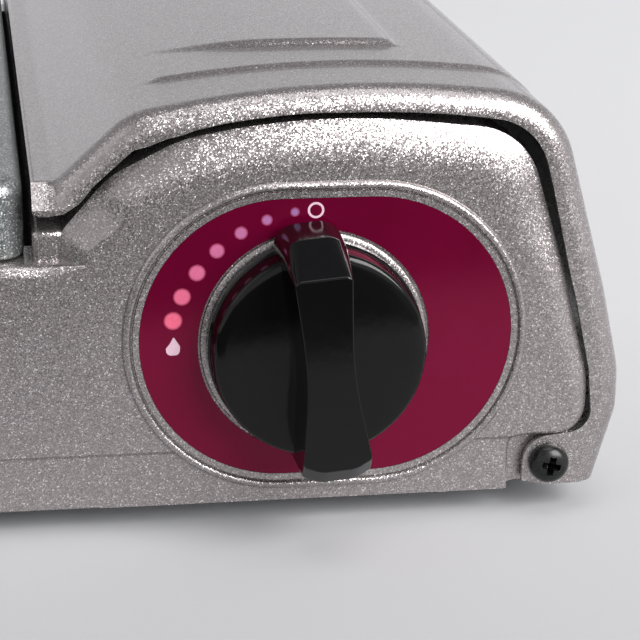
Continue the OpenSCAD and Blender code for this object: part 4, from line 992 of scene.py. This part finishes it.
tray = {
    "corners": [(-165, -115.5), (61.5, 133.1)],
    "cornerRadius": 14,
    "bayCornerRadius": 5,  # beside the container bay
    "top": 65,
    "low": 50.9,
    "hem": (0.5, 0.6),  # inward and up, at the lower edge
    "side": 57,
    "edge": 3,
    "edgeSteps": 7,
    "deck": 2,  # flat strip beside the rolled edge
    "sheet": 0.95,
    "dishSteps": 120,
    "dish": [(98.6, 65), (97.2, 64.7), (96.0, 63.8), (94.9, 62.2), (91.4, 59.2), (90.2, 58.0),
             (88.8, 57.3), (87, 57), (57, 57), (54.5, 57.3), (52.4, 58.3), (50.6, 60.4),
             (49.6, 61.8), (48.4, 62.5), (47, 62.6)],
}


def makeTray():
    (x0, y0), (x1, y1) = tray["corners"]
    wide, tight = tray["cornerRadius"], tray["bayCornerRadius"]
    plan = roundedPath([(x0, y0, wide), (x0, y1, wide), (x1, y1, tight), (x1, y0, tight)],
                       steps=12, closed=True)
    inward, up = tray["hem"]
    section = [(inward, tray["low"]), (0, tray["low"] + up), (0, tray["side"])]
    section += quarterRound(tray["edge"], tray["top"], tray["edgeSteps"])
    section.append((tray["edge"] + tray["deck"], tray["top"]))
    sides = [sideOf(plan, i, closed=True) for i in range(len(plan))]
    bm = bmesh.new()
    deck = loft(bm, [[(p.x + side.x * s, p.y + side.y * s, z) for p, side in zip(plan, sides)]
                     for s, z in section], closed=True)[-1]
    turns = [2 * math.pi * k / tray["dishSteps"] for k in range(tray["dishSteps"])]
    dish = loft(bm, [[(burner.x + r * math.cos(t), burner.y + r * math.sin(t), z) for t in turns]
                     for r, z in tray["dish"]], closed=True)[0]
    bmesh.ops.triangle_fill(bm, use_beauty=True, edges=edgesAlong(bm, deck, closed=True)
                            + edgesAlong(bm, dish, closed=True))
    pieceFrom(bm, "tray_panel", "tray_coat", "tray", ["drip_tray"], wall=tray["sheet"],
              outside=(-51, 8, 200), angle=40, flats=True)


makeTray()
print("drip tray made")

# Nodes whose shape is right keep it and take their finish

slotOf = {part["node"]: part["material_slot"] for part in frame["record"]["subparts"]}
for nodeName, node in frame["nodes"].items():
    for place in range(len(node.data.materials)):
        node.data.materials[place] = finishes[slotOf[nodeName]]
print("finishes given to the other nodes")

# Floor, light and surroundings, in metres

paper = {
    "half": 4,
    "across": (0.3, 1, 0),  # the way in which its tone changes
    "span": (-0.4, 0.6),
    # painted shade: the near-black first stop is a painted dark room in front of the stove for the
    # knob and label to reflect; the stops after it paint the floor darker towards the front
    "tones": [(0.18, (0.01, 0.01, 0.01)), (0.194, (0.37, 0.37, 0.38)), (0.34, (0.46, 0.46, 0.47)),
              (0.46, (0.55, 0.55, 0.56)), (1.0, (0.71, 0.71, 0.72))],
}
skyTones = [(0.0, (0.8, 0.8, 0.82)), (0.25, (0.72, 0.72, 0.74)), (0.7, (0.34, 0.34, 0.36)),
            (1.0, (0.22, 0.22, 0.24))]
lamps = {
    "key": {"place": (1.05, -1.32, 0.95), "size": (1.2, 1.2), "power": 58},
    "top": {"place": (0.3, -0.5, 1.9), "size": (1.2, 1.0), "power": 9},
    "fill": {"place": (-1.3, -0.7, 1.2), "size": (1.2, 1.2), "power": 3},
}
lampAim = Vector((0.1, -0.1, 0.05))


def makeFloor():
    bm = bmesh.new()
    bmesh.ops.create_grid(bm, x_segments=1, y_segments=1, size=paper["half"])
    mesh = bpy.data.meshes.new("floor")
    bm.to_mesh(mesh)
    bm.free()
    floor = bpy.data.objects.new("floor", mesh)
    scene.collection.objects.link(floor)
    material, nodes, links, shader = nodeChain("floor_paper")
    # pale paper painted darker towards the front as painted shade for light falling off, and
    # painted near-black in front of the stove as a painted dark room that the knob and label
    # reflect
    coords = nodes.new("ShaderNodeTexCoord")
    across = vectorMath(nodes, links, "DOT_PRODUCT", coords.outputs["Object"])
    across.inputs[1].default_value = paper["across"]
    share = rangeFrom(nodes, links, across.outputs["Value"], paper["span"], (0, 1))
    ramp = rampFrom(nodes, links, share, paper["tones"])
    links.new(ramp.outputs["Color"], shader.inputs["Base Color"])
    shader.inputs["Roughness"].default_value = 0.7
    shader.inputs["Specular IOR Level"].default_value = 0.1
    mesh.materials.append(material)


def addLamp(name, spec):
    data = bpy.data.lights.new(name, "AREA")
    data.shape = "RECTANGLE"
    data.size, data.size_y = spec["size"]
    data.energy = spec["power"]
    lamp = bpy.data.objects.new(name, data)
    scene.collection.objects.link(lamp)
    turn = (Vector(spec["place"]) - lampAim).to_track_quat("Z", "Y")
    lamp.matrix_world = Matrix.Translation(spec["place"]) @ turn.to_matrix().to_4x4()


def makeWorld():
    world = bpy.data.worlds.new("surroundings")
    scene.world = world
    world.use_nodes = True
    nodes, links = world.node_tree.nodes, world.node_tree.links
    background = nodes["Background"]
    coords = nodes.new("ShaderNodeTexCoord")
    split = nodes.new("ShaderNodeSeparateXYZ")
    links.new(coords.outputs["Generated"], split.inputs["Vector"])
    ramp = rampFrom(nodes, links, split.outputs["Z"], skyTones)
    links.new(ramp.outputs["Color"], background.inputs["Color"])


makeFloor()
makeWorld()
for lampName, lampSpec in lamps.items():
    addLamp(lampName, lampSpec)
print("light set")
